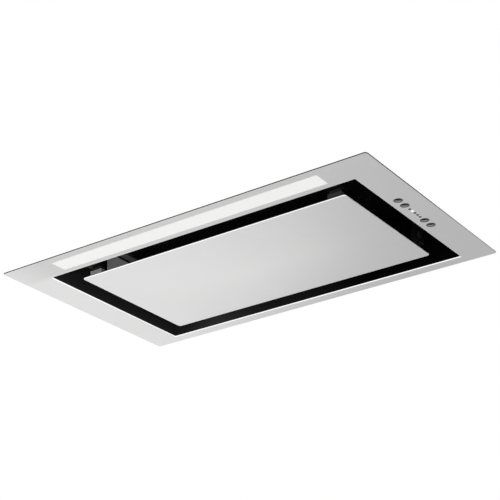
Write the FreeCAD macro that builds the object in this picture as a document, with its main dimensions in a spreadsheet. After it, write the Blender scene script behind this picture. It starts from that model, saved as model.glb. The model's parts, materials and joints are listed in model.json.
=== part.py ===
"""Built-in range hood: frame, hinged suction panel, light, controls, filter, fan and outlet.

Millimetres. +X is to the user's right, +Y towards the wall, +Z up. The origin lies at the plan centre of the frame,
level with the upper face of the seal that meets the underside of the cabinet.
"""
import FreeCAD, Part
import math
import os
import re
import Sketcher

LED_COUNT = 24
BLADE_COUNT = 32
INDICATOR_COUNT = 5
LIT_INDICATOR = 1

SIZES = {
    # shared clearances, sheet screws and small screws
    "overrun": 1.0,
    "fit_gap": 0.3,
    "hole_gap": 0.15,
    "running_gap": 0.05,
    "bolt_radius": 2.0,
    "bolt_head_radius": 4.0,
    "bolt_head_height": 2.2,
    "bolt_length": 7.0,
    "tiny_radius": 1.25,
    "tiny_head_radius": 2.5,
    "tiny_head_height": 1.5,
    "tiny_length": 6.0,
    # frame, its openings and its seal
    "fascia_width": 520.0,
    "fascia_depth": 315.0,
    "fascia_sheet": 1.2,
    "fascia_corner": 4.0,
    "seal_thickness": 1.5,
    "seal_width": 5.5,
    "seal_inset": 1.0,
    "recess_rear_margin": 17.0,
    # light strip
    "lamp_end_margin": 70.0,
    "lamp_width": 23.4,
    "lamp_margin": 12.5,
    "lamp_recess_gap": 9.7,
    "lens_setback": 0.2,
    "lens_rim": 2.0,
    "lens_flange": 1.5,
    "lamp_wall": 1.0,
    "lamp_height": 20.0,
    "led_board_margin": 6.0,
    "led_board_width": 16.0,
    "led_board_sheet": 1.2,
    "led_end_margin": 15.2,
    "led_side": 3.0,
    "led_height": 0.8,
    # push buttons, indicators and their housing
    "control_inset": 28.0,
    "control_gap": 1.0,
    "control_shift": 0.1,
    "pair_spacing": 62.7,
    "button_pitch": 15.3,
    "button_hole": 5.4,
    "button_radius": 5.1,
    "button_rim": 0.9,
    "button_dish": 0.7,
    "button_setback": 0.8,
    "button_flange": 7.2,
    "button_flange_height": 1.2,
    "button_play": 0.1,
    "button_travel": 1.0,
    "stem_radius": 2.5,
    "stem_proud": 1.0,
    "indicator_shift": 0.35,
    "indicator_pitch": 6.2,
    "indicator_hole": 1.5,
    "pipe_radius": 1.4,
    "pipe_flange": 2.2,
    "pipe_flange_height": 0.8,
    "control_width": 22.0,
    "control_length": 118.0,
    "control_wall": 1.5,
    "control_post": 9.0,
    "control_ledge": 3.0,
    "control_headroom": 2.0,
    "guide_height": 3.1,
    "switch_side": 6.0,
    "switch_height": 3.0,
    "plunger_radius": 1.6,
    "plunger_height": 0.8,
    "control_board_sheet": 1.6,
    # suction panel, its backing and catches
    "panel_side_gap": 27.6,
    "panel_front_gap": 25.4,
    "panel_rear_gap": 26.7,
    "panel_sheet": 1.5,
    "panel_corner": 4.0,
    "backing_margin": 14.0,
    "backing_end_margin": 15.0,
    "backing_height": 7.0,
    "backing_sheet": 0.8,
    "strike_inset": 17.2,
    "strike_setback": 5.0,
    "strike_width": 17.8,
    "strike_depth": 7.0,
    "strike_height": 8.5,
    "strike_sheet": 1.0,
    "catch_width": 20.0,
    "catch_sheet": 2.5,
    "catch_arm_height": 6.0,
    "catch_base_height": 18.0,
    "magnet_length": 14.0,
    "magnet_height": 4.0,
    # panel hinge
    "hinge_setback": 14.8,
    "hinge_rise": 22.5,
    "arm_inset": 11.0,
    "arm_sheet": 2.0,
    "arm_width": 20.0,
    "arm_foot": 9.0,
    "arm_foot_sheet": 1.5,
    "pin_radius": 2.5,
    "pin_head_radius": 4.5,
    "pin_head_height": 1.5,
    "pin_tail": 1.0,
    "bush_radius": 4.0,
    "bush_flange_radius": 6.0,
    "bush_flange": 0.8,
    "hinge_play": 0.4,
    "bracket_sheet": 2.0,
    "bracket_width": 24.0,
    "bracket_drop": 9.0,
    "bracket_rise": 11.0,
    "bracket_screw_spacing": 12.0,
    # recess tray, body and cabinet clips
    "tray_sheet": 1.0,
    "tray_height": 84.0,
    "ledge_width": 19.0,
    "rest_spacing": 240.0,
    "rest_width": 20.0,
    "rest_depth": 8.0,
    "rest_height": 3.0,
    "housing_side_margin": 10.0,
    "housing_rear_margin": 7.5,
    "housing_height": 112.0,
    "housing_sheet": 0.8,
    "housing_lip": 14.0,
    "top_sheet": 1.0,
    "top_screw_spacing": 160.0,
    "top_screw_row_spacing": 200.0,
    "hanger_spacing": 380.0,
    "hanger_row_spacing": 200.0,
    "hanger_hole": 3.25,
    "fan_side_gap": 78.2,
    "fan_front_gap": 46.2,
    "fan_rear_gap": 2.2,
    "fan_box_sheet": 0.8,
    "fan_box_flange": 12.0,
    "fan_box_screw_spacing": 160.0,
    "angle_spacing": 210.0,
    "angle_length": 20.0,
    "angle_leg": 14.0,
    "angle_sheet": 1.5,
    "angle_hole_height": 8.5,
    "clip_spacing": 150.0,
    "clip_width": 20.0,
    "clip_sheet": 0.8,
    "clip_foot": 19.5,
    "clip_knee": 42.0,
    "clip_top": 64.0,
    "clip_spread": 7.0,
    "clip_rivet_spacing": 10.0,
    # grease filter and latch
    "filter_gap": 3.0,
    "filter_seat_gap": 0.2,
    "filter_thickness": 9.0,
    "filter_border": 10.0,
    "filter_lip": 1.3,
    "filter_web": 6.5,
    "mesh_sheet": 1.0,
    "latch_width": 30.0,
    "latch_sheet": 2.8,
    "latch_reach": 26.0,
    "latch_nose": 2.0,
    "latch_grip": 12.0,
    "latch_grip_sheet": 3.0,
    "guide_wall": 4.0,
    "guide_depth": 10.0,
    "guide_roof": 1.3,
    "guide_floor": 1.5,
    # fan scroll, wheel and motor
    "axis_rise": 89.5,
    "wheel_gap": 7.0,
    "wheel_side_gap": 6.0,
    "scroll_step": 9.0,
    "scroll_wall": 1.5,
    "scroll_neck": 24.7,
    "scroll_flange": 12.0,
    "scroll_flange_sheet": 3.0,
    "scroll_boss_radius": 4.5,
    "scroll_boss_length": 8.0,
    "inlet_lip": 1.0,
    "wheel_radius": 65.0,
    "wheel_half": 50.0,
    "wheel_ring": 2.0,
    "wheel_disc": 2.0,
    "blade_depth": 12.0,
    "blade_sheet": 1.2,
    "hub_radius": 10.0,
    "hub_half": 7.0,
    "shaft_radius": 4.0,
    "shaft_tail": 2.0,
    "motor_radius": 40.0,
    "motor_wall": 1.5,
    "motor_end": 6.0,
    "motor_setback": 12.0,
    "motor_length": 54.0,
    "bearing_radius": 8.0,
    "rotor_radius": 20.0,
    "rotor_gap": 0.5,
    "rotor_length": 30.0,
    "spider_ring": 6.0,
    "spider_depth": 5.0,
    "spider_arm_width": 12.0,
    "spider_arm_sheet": 3.0,
    "spider_foot": 16.0,
    # outlet collar and non-return flaps
    "collar_radius": 74.5,
    "collar_wall": 1.5,
    "collar_height": 40.0,
    "collar_flange_width": 17.5,
    "collar_flange": 1.5,
    "collar_screw_inset": 9.5,
    "stop_height": 8.0,
    "stop_width": 4.0,
    "flap_gap": 1.5,
    "flap_sheet": 1.2,
    "flap_lift": 2.2,
    "flap_pin_radius": 1.5,
    "knuckle_radius": 2.5,
    "knuckle_gap": 0.7,
    "knuckle_side_gap": 0.3,
    # electrical parts
    "terminal_gap": 20.0,
    "terminal_length": 84.0,
    "terminal_width": 46.0,
    "terminal_height": 34.0,
    "terminal_wall": 2.0,
    "gland_bore": 4.0,
    "gland_radius": 8.0,
    "gland_flange_radius": 12.0,
    "gland_flange": 3.0,
    "gland_nut_radius": 9.5,
    "gland_nut_height": 14.0,
    "gland_tip_radius": 7.0,
    "gland_tip_height": 4.0,
    "capacitor_inset": 31.0,
    "capacitor_setback": 34.0,
    "capacitor_radius": 16.0,
    "capacitor_length": 58.0,
    "capacitor_rim": 1.2,
    "driver_width": 22.0,
    "driver_length": 92.0,
    "driver_height": 24.0,
    "driver_ear": 12.0,
    "driver_ear_sheet": 2.5,
}

KNUCKLE_SHARES = ((-0.75, -0.45), (0.15, 0.45))
BOSS_SET_SHARE = 0.6

# Levels and lines that follow from the sizes above.
PLACES = {
    "deck": "-seal_thickness",
    "face": "deck - fascia_sheet",
    "lamp_right": "fascia_width / 2 - lamp_end_margin",
    "lamp_front": "lamp_margin - fascia_depth / 2",
    "lamp_rear": "lamp_front + lamp_width",
    "lamp_middle": "lamp_front + lamp_width / 2",
    "lens_edge": "lens_rim + fit_gap + lamp_wall",
    "lamp_crown": "deck + lamp_height",
    "led_board_high": "lamp_crown - lamp_wall",
    "led_board_low": "led_board_high - led_board_sheet",
    "led_pitch": f"2 * (lamp_right - led_end_margin) / {LED_COUNT - 1}",
    "control_line": "fascia_width / 2 - control_inset",
    "control_low": "control_shift - control_length / 2",
    "control_high": "control_shift + control_length / 2",
    "tray_right": "control_line - control_width / 2 - control_gap",
    "recess_right": "tray_right - tray_sheet",
    "recess_front": "lamp_rear + lamp_recess_gap",
    "recess_rear": "fascia_depth / 2 - recess_rear_margin",
    "tray_crown": "deck + tray_height",
    "ledge_low": "tray_crown - tray_sheet",
    "panel_right": "recess_right - panel_side_gap",
    "panel_front": "recess_front + panel_front_gap",
    "panel_rear": "recess_rear - panel_rear_gap",
    "panel_top": "face + panel_sheet",
    "guide_low": "deck + guide_height",
    "guide_high": "guide_low + control_wall",
    "button_low": "face + button_setback",
    "flange_low": "deck + button_play",
    "flange_high": "flange_low + button_flange_height",
    "stem_top": "guide_high + stem_proud",
    "plunger_low": "stem_top + button_travel + button_play",
    "switch_low": "plunger_low + plunger_height",
    "control_board_low": "switch_low + switch_height",
    "control_board_high": "control_board_low + control_board_sheet",
    "control_crown": "control_board_high + control_headroom",
    "strike_offset": "panel_right - strike_inset",
    "strike_front": "panel_front + strike_setback",
    "strike_rear": "strike_front + strike_depth",
    "strike_top": "panel_top + strike_height",
    "magnet_low": "strike_top + fit_gap",
    "magnet_top": "magnet_low + magnet_height",
    "catch_face": "recess_front + catch_sheet",
    "catch_screw_level": "magnet_top + (catch_arm_height + catch_base_height) / 2",
    "pivot_y": "panel_rear - hinge_setback",
    "pivot_z": "panel_top + hinge_rise",
    "arm_in": "panel_right - arm_inset",
    "arm_out": "arm_in + arm_sheet",
    "bracket_in": "arm_out + bush_flange + hinge_play",
    "bracket_out": "bracket_in + bracket_sheet",
    "bracket_top": "pivot_z + bracket_rise",
    "bracket_wall": "recess_right - bracket_sheet",
    "housing_right": "fascia_width / 2 - housing_side_margin",
    "housing_rear": "fascia_depth / 2 - housing_rear_margin",
    "housing_in": "housing_right - housing_sheet",
    "housing_crown": "deck + housing_height",
    "top_face": "housing_crown + top_sheet",
    "wheel_in": "wheel_radius - blade_depth",
    "scroll_radius": "wheel_radius + wheel_gap",
    "scroll_half": "wheel_half + wheel_side_gap",
    "inlet_radius": "wheel_in - inlet_lip",
    "fan_y": "(scroll_radius + 3 * scroll_step) / 2",
    "axis_height": "tray_crown + axis_rise",
    "fan_right": "scroll_half + fan_side_gap + fan_box_sheet",
    "fan_front": "-(fan_y + scroll_wall + fan_front_gap + fan_box_sheet)",
    "fan_rear": "fan_y + scroll_radius + scroll_wall + fan_rear_gap + fan_box_sheet",
    "fan_middle": "(fan_front + fan_rear) / 2",
    "fan_roof": "axis_height + scroll_radius + scroll_neck",
    "fan_crown": "fan_roof + fan_box_sheet",
    "angle_hole": "deck + angle_hole_height",
    "clip_out": "housing_right + clip_sheet",
    "clip_rivet_level": "(clip_knee + clip_top) / 2",
    "filter_right": "recess_right - filter_gap",
    "filter_front": "recess_front + filter_gap",
    "filter_rear": "recess_rear - filter_gap",
    "filter_top": "ledge_low - filter_seat_gap",
    "filter_low": "filter_top - filter_thickness",
    "rest_top": "filter_low - filter_seat_gap",
    "latch_high": "filter_low - guide_roof - hole_gap",
    "latch_low": "latch_high - latch_sheet",
    "guide_bottom": "latch_low - hole_gap - guide_floor",
    "latch_tip": "recess_front - tray_sheet - latch_nose",
    "latch_end": "filter_front + latch_reach",
    "bearing_bore": "shaft_radius + running_gap",
    "motor_far": "motor_setback + motor_length",
    "motor_inside": "motor_radius - motor_wall",
    "rotor_near": "motor_setback + (motor_length - rotor_length) / 2",
    "rotor_far": "rotor_near + rotor_length",
    "spider_reach": "inlet_radius + spider_foot",
    "collar_in": "collar_radius - collar_wall",
    "collar_flange_radius": "collar_radius + collar_flange_width",
    "collar_screw_radius": "collar_flange_radius - collar_screw_inset",
    "collar_top": "fan_crown + collar_height",
    "stop_top": "fan_crown + stop_height",
    "flap_level": "stop_top + flap_lift",
    "flap_radius": "collar_in - flap_gap",
    "flap_edge": "knuckle_radius + knuckle_gap",
    "terminal_x": "fan_right + fan_box_flange + terminal_gap + terminal_width / 2",
    "capacitor_x": "capacitor_inset - fan_right",
    "capacitor_y": "fan_front + capacitor_setback",
}

doc = FreeCAD.newDocument("range_hood")
subparts = {}


def bound(text):
    """Spell an expression with the sheet that each named size or place lives in."""
    def spell(match):
        word = match.group(0)
        if word in SIZES:
            return "Sizes." + word
        if word in PLACES:
            return "Places." + word
        return word
    return re.sub(r"[A-Za-z_][A-Za-z_0-9]*", spell, text)


def fill_sheets():
    """Write the driving sizes as numbers, and the places as formulas on a second sheet."""
    sizes = doc.addObject("Spreadsheet::Sheet", "Sizes")
    for row, (alias, value) in enumerate(SIZES.items(), start=1):
        sizes.set(f"A{row}", alias)
        sizes.set(f"B{row}", str(value))
        sizes.setAlias(f"B{row}", alias)
    places = doc.addObject("Spreadsheet::Sheet", "Places")
    for row, (alias, formula) in enumerate(PLACES.items(), start=1):
        places.set(f"A{row}", alias)
        places.setAlias(f"B{row}", alias)
        places.set(f"B{row}", "=" + bound(formula))
    doc.recompute()


def size(alias):
    """Read one size or place back from its sheet, as a number."""
    sheet = doc.getObject("Sizes" if alias in SIZES else "Places")
    value = sheet.get(alias)
    return float(getattr(value, "Value", value))


TURNS = {
    "X": FreeCAD.Rotation(FreeCAD.Vector(0, 1, 0), 90),
    "Y": FreeCAD.Rotation(FreeCAD.Vector(1, 0, 0), -90),
    "Z": FreeCAD.Rotation(),
}


def tie(item, **formulas):
    """Bind properties of an object to formulas."""
    for name, formula in formulas.items():
        item.setExpression(name, bound(formula))
    return item


def put(item, x="0", y="0", z="0", turn="Z"):
    """Give an object its placement, with each coordinate bound to a formula."""
    item.Placement = FreeCAD.Placement(FreeCAD.Vector(), TURNS[turn])
    for letter, formula in zip("xyz", (x, y, z)):
        item.setExpression("Placement.Base." + letter, bound(formula))
    return item


def block(name, x, y, z):
    """A box between two formulas along each axis."""
    item = doc.addObject("Part::Box", name)
    for side, (low, high) in zip(("Length", "Width", "Height"), (x, y, z)):
        item.setExpression(side, bound(f"({high}) - ({low})"))
    return put(item, x[0], y[0], z[0])


def rod(name, axis, radius, span, at):
    """A cylinder along an axis, from the first to the second formula of span, centred at the other two."""
    item = doc.addObject("Part::Cylinder", name)
    tie(item, Radius=radius, Height=f"({span[1]}) - ({span[0]})")
    place = dict(zip([letter for letter in "XYZ" if letter != axis], at))
    place[axis] = span[0]
    return put(item, place["X"], place["Y"], place["Z"], axis)


def joined(name, *items):
    """One solid fused from several."""
    item = doc.addObject("Part::MultiFuse", name)
    item.Shapes = list(items)
    item.Refine = True
    return item


def carved(name, base, *tools):
    """A solid with the tools cut away."""
    item = doc.addObject("Part::Cut", name)
    item.Base = base
    item.Tool = tools[0] if len(tools) == 1 else group(name + "_tools", *tools)
    return item


def group(name, *items):
    """Several separate solids under one name."""
    item = doc.addObject("Part::Compound", name)
    item.Links = list(items)
    return item


def mirrored(name, item, axis="X"):
    """A copy of an object on the other side of the plane through the origin across an axis."""
    copy = doc.addObject("Part::Mirroring", name)
    copy.Source = item
    copy.Normal = FreeCAD.Vector(*(float(letter == axis) for letter in "XYZ"))
    return copy


def pair(name, item, axis="X"):
    """An object and its mirror image as one group."""
    return group(name, item, mirrored(name + "_copy", item, axis))


def four(name, item):
    """An object repeated in all four quarters of the plan."""
    return pair(name, pair(name + "_half", item, "Y"), "X")


def keep(label, item):
    """Register a finished sub-part under the name of its file."""
    item.Label = label
    subparts[label] = item
    return item


def screw(name, kind, axis, way, seat, at, length=None):
    """A cylinder-head screw: its head seats at a formula and its shank runs on in the direction of way."""
    reach = length or kind + "_length"
    head_span = (f"({seat}) - {kind}_head_height", seat)
    shank_span = (seat, f"({seat}) + {reach}")
    if way < 0:
        head_span = (seat, f"({seat}) + {kind}_head_height")
        shank_span = (f"({seat}) - ({reach})", seat)
    head = rod(name + "_head", axis, kind + "_head_radius", head_span, at)
    shank = rod(name + "_shank", axis, kind + "_radius", shank_span, at)
    return joined(name, head, shank)


def drill(name, kind, axis, span, at):
    """The clearance hole for one kind of screw, with room to cut through both ends of the span."""
    return rod(name, axis, kind + "_radius + hole_gap", (f"({span[0]}) - overrun", f"({span[1]}) + overrun"), at)


def plane_of(body, role):
    """One of a body's own origin planes."""
    return next(item for item in body.Origin.OriginFeatures if item.Role == role)


def outline(body, name, role, points):
    """A closed sketch of straight lines through points given as pairs of formulas."""
    sketch = body.newObject("Sketcher::SketchObject", name)
    sketch.AttachmentSupport = [(plane_of(body, role), "")]
    sketch.MapMode = "FlatFace"
    start = [FreeCAD.Vector(value(u), value(v), 0) for u, v in points]
    count = len(points)
    for index in range(count):
        sketch.addGeometry(Part.LineSegment(start[index], start[(index + 1) % count]), False)
    for index in range(count):
        sketch.addConstraint(Sketcher.Constraint("Coincident", index, 2, (index + 1) % count, 1))
    for index, pair_of_formulas in enumerate(points):
        for kind, formula in zip(("DistanceX", "DistanceY"), pair_of_formulas):
            number = sketch.addConstraint(Sketcher.Constraint(kind, -1, 1, index, 1, value(formula)))
            sketch.setExpression(f"Constraints[{number}]", bound(formula))
    return sketch


def value(formula):
    """The present value of a formula, from a scratch cell of the places sheet."""
    scratch = doc.getObject("Places")
    scratch.set("D1", "=" + bound(formula))
    scratch.recompute()
    result = scratch.get("D1")
    return float(getattr(result, "Value", result))


def circles(body, name, places, radius):
    """A sketch of equal circles on the body's plan plane."""
    sketch = body.newObject("Sketcher::SketchObject", name)
    sketch.AttachmentSupport = [(plane_of(body, "XY_Plane"), "")]
    sketch.MapMode = "FlatFace"
    up = FreeCAD.Vector(0, 0, 1)
    for index, (u, v) in enumerate(places):
        centre = FreeCAD.Vector(value(u), value(v), 0)
        sketch.addGeometry(Part.Circle(centre, up, value(radius)), False)
        ends = (-1, 1, index, 3)
        settings = (("DistanceX", ends, u), ("DistanceY", ends, v), ("Radius", (index,), radius))
        for kind, what, formula in settings:
            number = sketch.addConstraint(Sketcher.Constraint(kind, *what, value(formula)))
            sketch.setExpression(f"Constraints[{number}]", bound(formula))
    return sketch


def rectangle_points(x, y):
    """The four corners of a plan rectangle between pairs of formulas."""
    return [(x[0], y[0]), (x[1], y[0]), (x[1], y[1]), (x[0], y[1])]


def sheet_body(name, x, y, thickness, corner, level):
    """A flat sheet with rounded corners, lying at a level."""
    body = doc.addObject("PartDesign::Body", name)
    sketch = outline(body, name + "_outline", "XY_Plane", rectangle_points(x, y))
    pad = body.newObject("PartDesign::Pad", name + "_pad")
    pad.Profile = sketch
    tie(pad, Length=thickness)
    doc.recompute()
    uprights = [f"Edge{index}" for index, edge in enumerate(pad.Shape.Edges, start=1)
                if abs(edge.Vertexes[0].Z - edge.Vertexes[-1].Z) > size("fit_gap")]
    rounding = body.newObject("PartDesign::Fillet", name + "_corners")
    rounding.Base = (pad, uprights)
    tie(rounding, Radius=corner)
    put(body, z=level)
    doc.recompute()
    return body


def pierce(body, name, sketch):
    """Cut a sketch right through a sheet body, and make sure that material left it."""
    before = body.Shape.Volume
    pocket = body.newObject("PartDesign::Pocket", name)
    pocket.Profile = sketch
    pocket.Type = "ThroughAll"
    pocket.Reversed = True
    doc.recompute()
    if body.Shape.Volume >= before:
        raise RuntimeError(name + " cut nothing")


def turned(name, points, turn="Z", x="0", y="0", z="0"):
    """A body of revolution from radius and height pairs, turned so that its axis lies along X, Y or Z."""
    body = doc.addObject("PartDesign::Body", name)
    sketch = outline(body, name + "_profile", "XZ_Plane", points)
    spin = body.newObject("PartDesign::Revolution", name + "_turn")
    spin.Profile = sketch
    spin.ReferenceAxis = (sketch, ["V_Axis"])
    spin.Angle = 360.0
    put(body, x, y, z, turn)
    return body


def profile_pad(name, points, length, x="0", y="0", z="0"):
    """An upright profile in the X and Z directions, padded evenly to both sides along Y."""
    body = doc.addObject("PartDesign::Body", name)
    sketch = outline(body, name + "_profile", "XZ_Plane", points)
    pad = body.newObject("PartDesign::Pad", name + "_pad")
    pad.Profile = sketch
    pad.Midplane = True
    tie(pad, Length=length)
    return put(body, x, y, z)


BUTTON_LINES = {
    "light_button": "control_shift - (pair_spacing + button_pitch) / 2",
    "minus_button": "control_shift - (pair_spacing - button_pitch) / 2",
    "plus_button": "control_shift + (pair_spacing - button_pitch) / 2",
    "timer_button": "control_shift + (pair_spacing + button_pitch) / 2",
}
INDICATOR_LINES = [f"indicator_shift + indicator_pitch * ({index} - {INDICATOR_COUNT - 1} / 2)"
                   for index in range(INDICATOR_COUNT)]
COVER_SCREW_LINES = ("control_low + control_post / 2", "control_high - control_post / 2")
LAMP_SCREW_LINES = [f"led_pitch * {step}" for step in (-10, -4, 4, 10)]
FAN_BOX_SCREWS = [
    ("fan_box_screw_spacing / 2", "fan_front - fan_box_flange / 2"),
    ("fan_box_screw_spacing / 2", "fan_rear + fan_box_flange / 2"),
    ("fan_right + fan_box_flange / 2", "fan_middle - fan_box_screw_spacing / 2"),
    ("fan_right + fan_box_flange / 2", "fan_middle + fan_box_screw_spacing / 2"),
]


def fascia():
    """The frame sheet with its openings, the seal on it and the angles that tie it to the body."""
    across = ("-fascia_width / 2", "fascia_width / 2")
    along = ("-fascia_depth / 2", "fascia_depth / 2")
    frame = sheet_body("fascia_frame", across, along, "fascia_sheet", "fascia_corner", "face")
    windows = {
        "recess": (("-recess_right", "recess_right"), ("recess_front", "recess_rear")),
        "lamp_window": (("-lamp_right", "lamp_right"), ("lamp_front", "lamp_rear")),
    }
    for name, (x, y) in windows.items():
        pierce(frame, name + "_cut", outline(frame, name, "XY_Plane", rectangle_points(x, y)))
    button_places = [("control_line", line) for line in BUTTON_LINES.values()]
    pierce(frame, "button_holes_cut", circles(frame, "button_holes", button_places, "button_hole"))
    light_places = [("control_line", line) for line in INDICATOR_LINES]
    pierce(frame, "indicator_holes_cut", circles(frame, "indicator_holes", light_places, "indicator_hole"))
    keep("fascia_frame", frame)

    def ring(name, inset, low, high):
        x = "fascia_width / 2 - (" + inset + ")"
        y = "fascia_depth / 2 - (" + inset + ")"
        return block(name, (f"-({x})", x), (f"-({y})", y), (low, high))
    outer = ring("seal_outer", "seal_inset", "deck", "0")
    inner = ring("seal_inner", "seal_inset + seal_width", "deck - overrun", "overrun")
    keep("perimeter_seal", carved("perimeter_seal", outer, inner))

    line = "angle_spacing / 2"
    reach = (f"{line} - angle_length / 2", f"{line} + angle_length / 2")
    foot = block("angle_foot", ("housing_in - angle_leg", "housing_in"), reach, ("deck", "deck + angle_sheet"))
    upright = block("angle_upright", ("housing_in - angle_sheet", "housing_in"), reach, ("deck", "deck + angle_leg"))
    hole = drill("angle_drill", "bolt", "X", ("housing_in - angle_sheet", "housing_right"), (line, "angle_hole"))
    keep("fascia_angles", four("fascia_angles", carved("angle", joined("angle_blank", foot, upright), hole)))
    bolt = screw("fascia_screw", "bolt", "X", -1, "housing_right", (line, "angle_hole"))
    keep("fascia_screws", four("fascia_screws", bolt))


def lamp():
    """The light strip behind the front margin of the frame."""
    def plate(name, spread, z):
        x = f"lamp_right + ({spread})"
        return block(name, (f"-({x})", x), (f"lamp_front - ({spread})", f"lamp_rear + ({spread})"), z)
    window = plate("lens_window", "-fit_gap", ("face + lens_setback", "deck"))
    flange = plate("lens_flange_plate", "lens_rim", ("deck", "deck + lens_flange"))
    keep("lamp_diffuser", joined("lamp_diffuser", window, flange))

    rows = [(line, "lamp_middle") for line in LAMP_SCREW_LINES]
    shell = plate("lamp_blank", "lens_edge", ("deck", "lamp_crown"))
    hollow = plate("lamp_hollow", "lens_edge - lamp_wall", ("deck - overrun", "led_board_high"))
    roof = ("led_board_low", "lamp_crown")
    holes = [drill(f"lamp_drill_{index}", "tiny", "Z", roof, at) for index, at in enumerate(rows)]
    keep("lamp_housing", carved("lamp_housing", shell, hollow, *holes))
    half = "lamp_right - led_board_margin"
    depth = ("lamp_middle - led_board_width / 2", "lamp_middle + led_board_width / 2")
    board = block("led_board_blank", (f"-({half})", half), depth, ("led_board_low", "led_board_high"))
    board_holes = [drill(f"led_board_drill_{index}", "tiny", "Z", roof, at) for index, at in enumerate(rows)]
    keep("led_board", carved("led_board", board, *board_holes))
    chips = []
    for index in range(LED_COUNT):
        middle = f"led_pitch * ({index} - {LED_COUNT - 1} / 2)"
        x = (f"{middle} - led_side / 2", f"{middle} + led_side / 2")
        y = ("lamp_middle - led_side / 2", "lamp_middle + led_side / 2")
        chips.append(block(f"led_chip_{index}", x, y, ("led_board_low - led_height", "led_board_low")))
    keep("led_chips", group("led_chips", *chips))
    screws = [screw(f"lamp_screw_{index}", "tiny", "Z", 1, "led_board_low", at) for index, at in enumerate(rows)]
    return screws


def buttons():
    """Four dished push buttons, each held behind the frame by a flange and guided by its stem."""
    for name, line in BUTTON_LINES.items():
        profile = [
            ("0", "button_low + button_dish"),
            ("button_radius - 2 * button_rim", "button_low + button_dish"),
            ("button_radius - button_rim", "button_low"),
            ("button_radius", "button_low"),
            ("button_radius", "flange_low"),
            ("button_flange", "flange_low"),
            ("button_flange", "flange_high"),
            ("stem_radius", "flange_high"),
            ("stem_radius", "stem_top"),
            ("0", "stem_top"),
        ]
        keep(name, turned(name, profile, x="control_line", y=line))


def controls():
    """The housing, board, switches and indicators behind the push buttons."""
    def plan(name, wall, end, z):
        x = f"control_width / 2 - ({wall})"
        width = (f"control_line - ({x})", f"control_line + ({x})")
        return block(name, width, (f"control_low + ({end})", f"control_high - ({end})"), z)
    blank = plan("control_blank", "0", "0", ("deck", "control_crown"))
    cuts = [
        plan("control_under", "control_wall", "control_wall", ("deck - overrun", "guide_low")),
        plan("control_well", "control_wall", "control_post + control_ledge", ("guide_high", "control_crown")),
        plan("control_seat", "control_wall", "control_post", ("control_board_low", "control_crown + overrun")),
    ]
    floor = ("guide_low - overrun", "guide_high + overrun")
    for index, line in enumerate(BUTTON_LINES.values()):
        cuts.append(rod(f"stem_guide_{index}", "Z", "stem_radius + running_gap", floor, ("control_line", line)))
    for index, line in enumerate(INDICATOR_LINES):
        cuts.append(rod(f"pipe_guide_{index}", "Z", "pipe_radius + hole_gap", floor, ("control_line", line)))
    for index, line in enumerate(COVER_SCREW_LINES):
        depth = ("control_crown - tiny_length", "control_crown")
        cuts.append(drill(f"post_drill_{index}", "tiny", "Z", depth, ("control_line", line)))
    keep("control_housing", carved("control_housing", blank, *cuts))
    board = ("control_board_low", "control_board_high")
    keep("control_board", plan("control_board", "control_wall + fit_gap", "control_post + fit_gap", board))

    switches = []
    for index, line in enumerate(BUTTON_LINES.values()):
        x = ("control_line - switch_side / 2", "control_line + switch_side / 2")
        y = (f"{line} - switch_side / 2", f"{line} + switch_side / 2")
        case = block(f"switch_case_{index}", x, y, ("switch_low", "control_board_low"))
        at = ("control_line", line)
        plunger = rod(f"plunger_{index}", "Z", "plunger_radius", ("plunger_low", "switch_low"), at)
        switches.append(joined(f"switch_{index}", case, plunger))
    keep("tact_switches", group("tact_switches", *switches))

    pipes = []
    for index, line in enumerate(INDICATOR_LINES):
        at = ("control_line", line)
        stem = rod(f"pipe_stem_{index}", "Z", "pipe_radius", ("face + lens_setback", "control_board_low"), at)
        flange = rod(f"pipe_flange_{index}", "Z", "pipe_flange", ("deck", "deck + pipe_flange_height"), at)
        pipes.append(joined(f"pipe_{index}", stem, flange))
    keep("indicator_pipe_lit", pipes.pop(LIT_INDICATOR))
    keep("indicator_pipes", group("indicator_pipes", *pipes))

    lid = plan("control_lid", "0", "0", ("control_crown", "control_crown + control_wall"))
    thickness = ("control_crown", "control_crown + control_wall")
    holes = [drill(f"lid_drill_{index}", "tiny", "Z", thickness, ("control_line", line))
             for index, line in enumerate(COVER_SCREW_LINES)]
    keep("control_cover", carved("control_cover", lid, *holes))
    screws = [screw(f"cover_screw_{index}", "tiny", "Z", -1, "control_crown + control_wall", ("control_line", line))
              for index, line in enumerate(COVER_SCREW_LINES)]
    return screws


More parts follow.
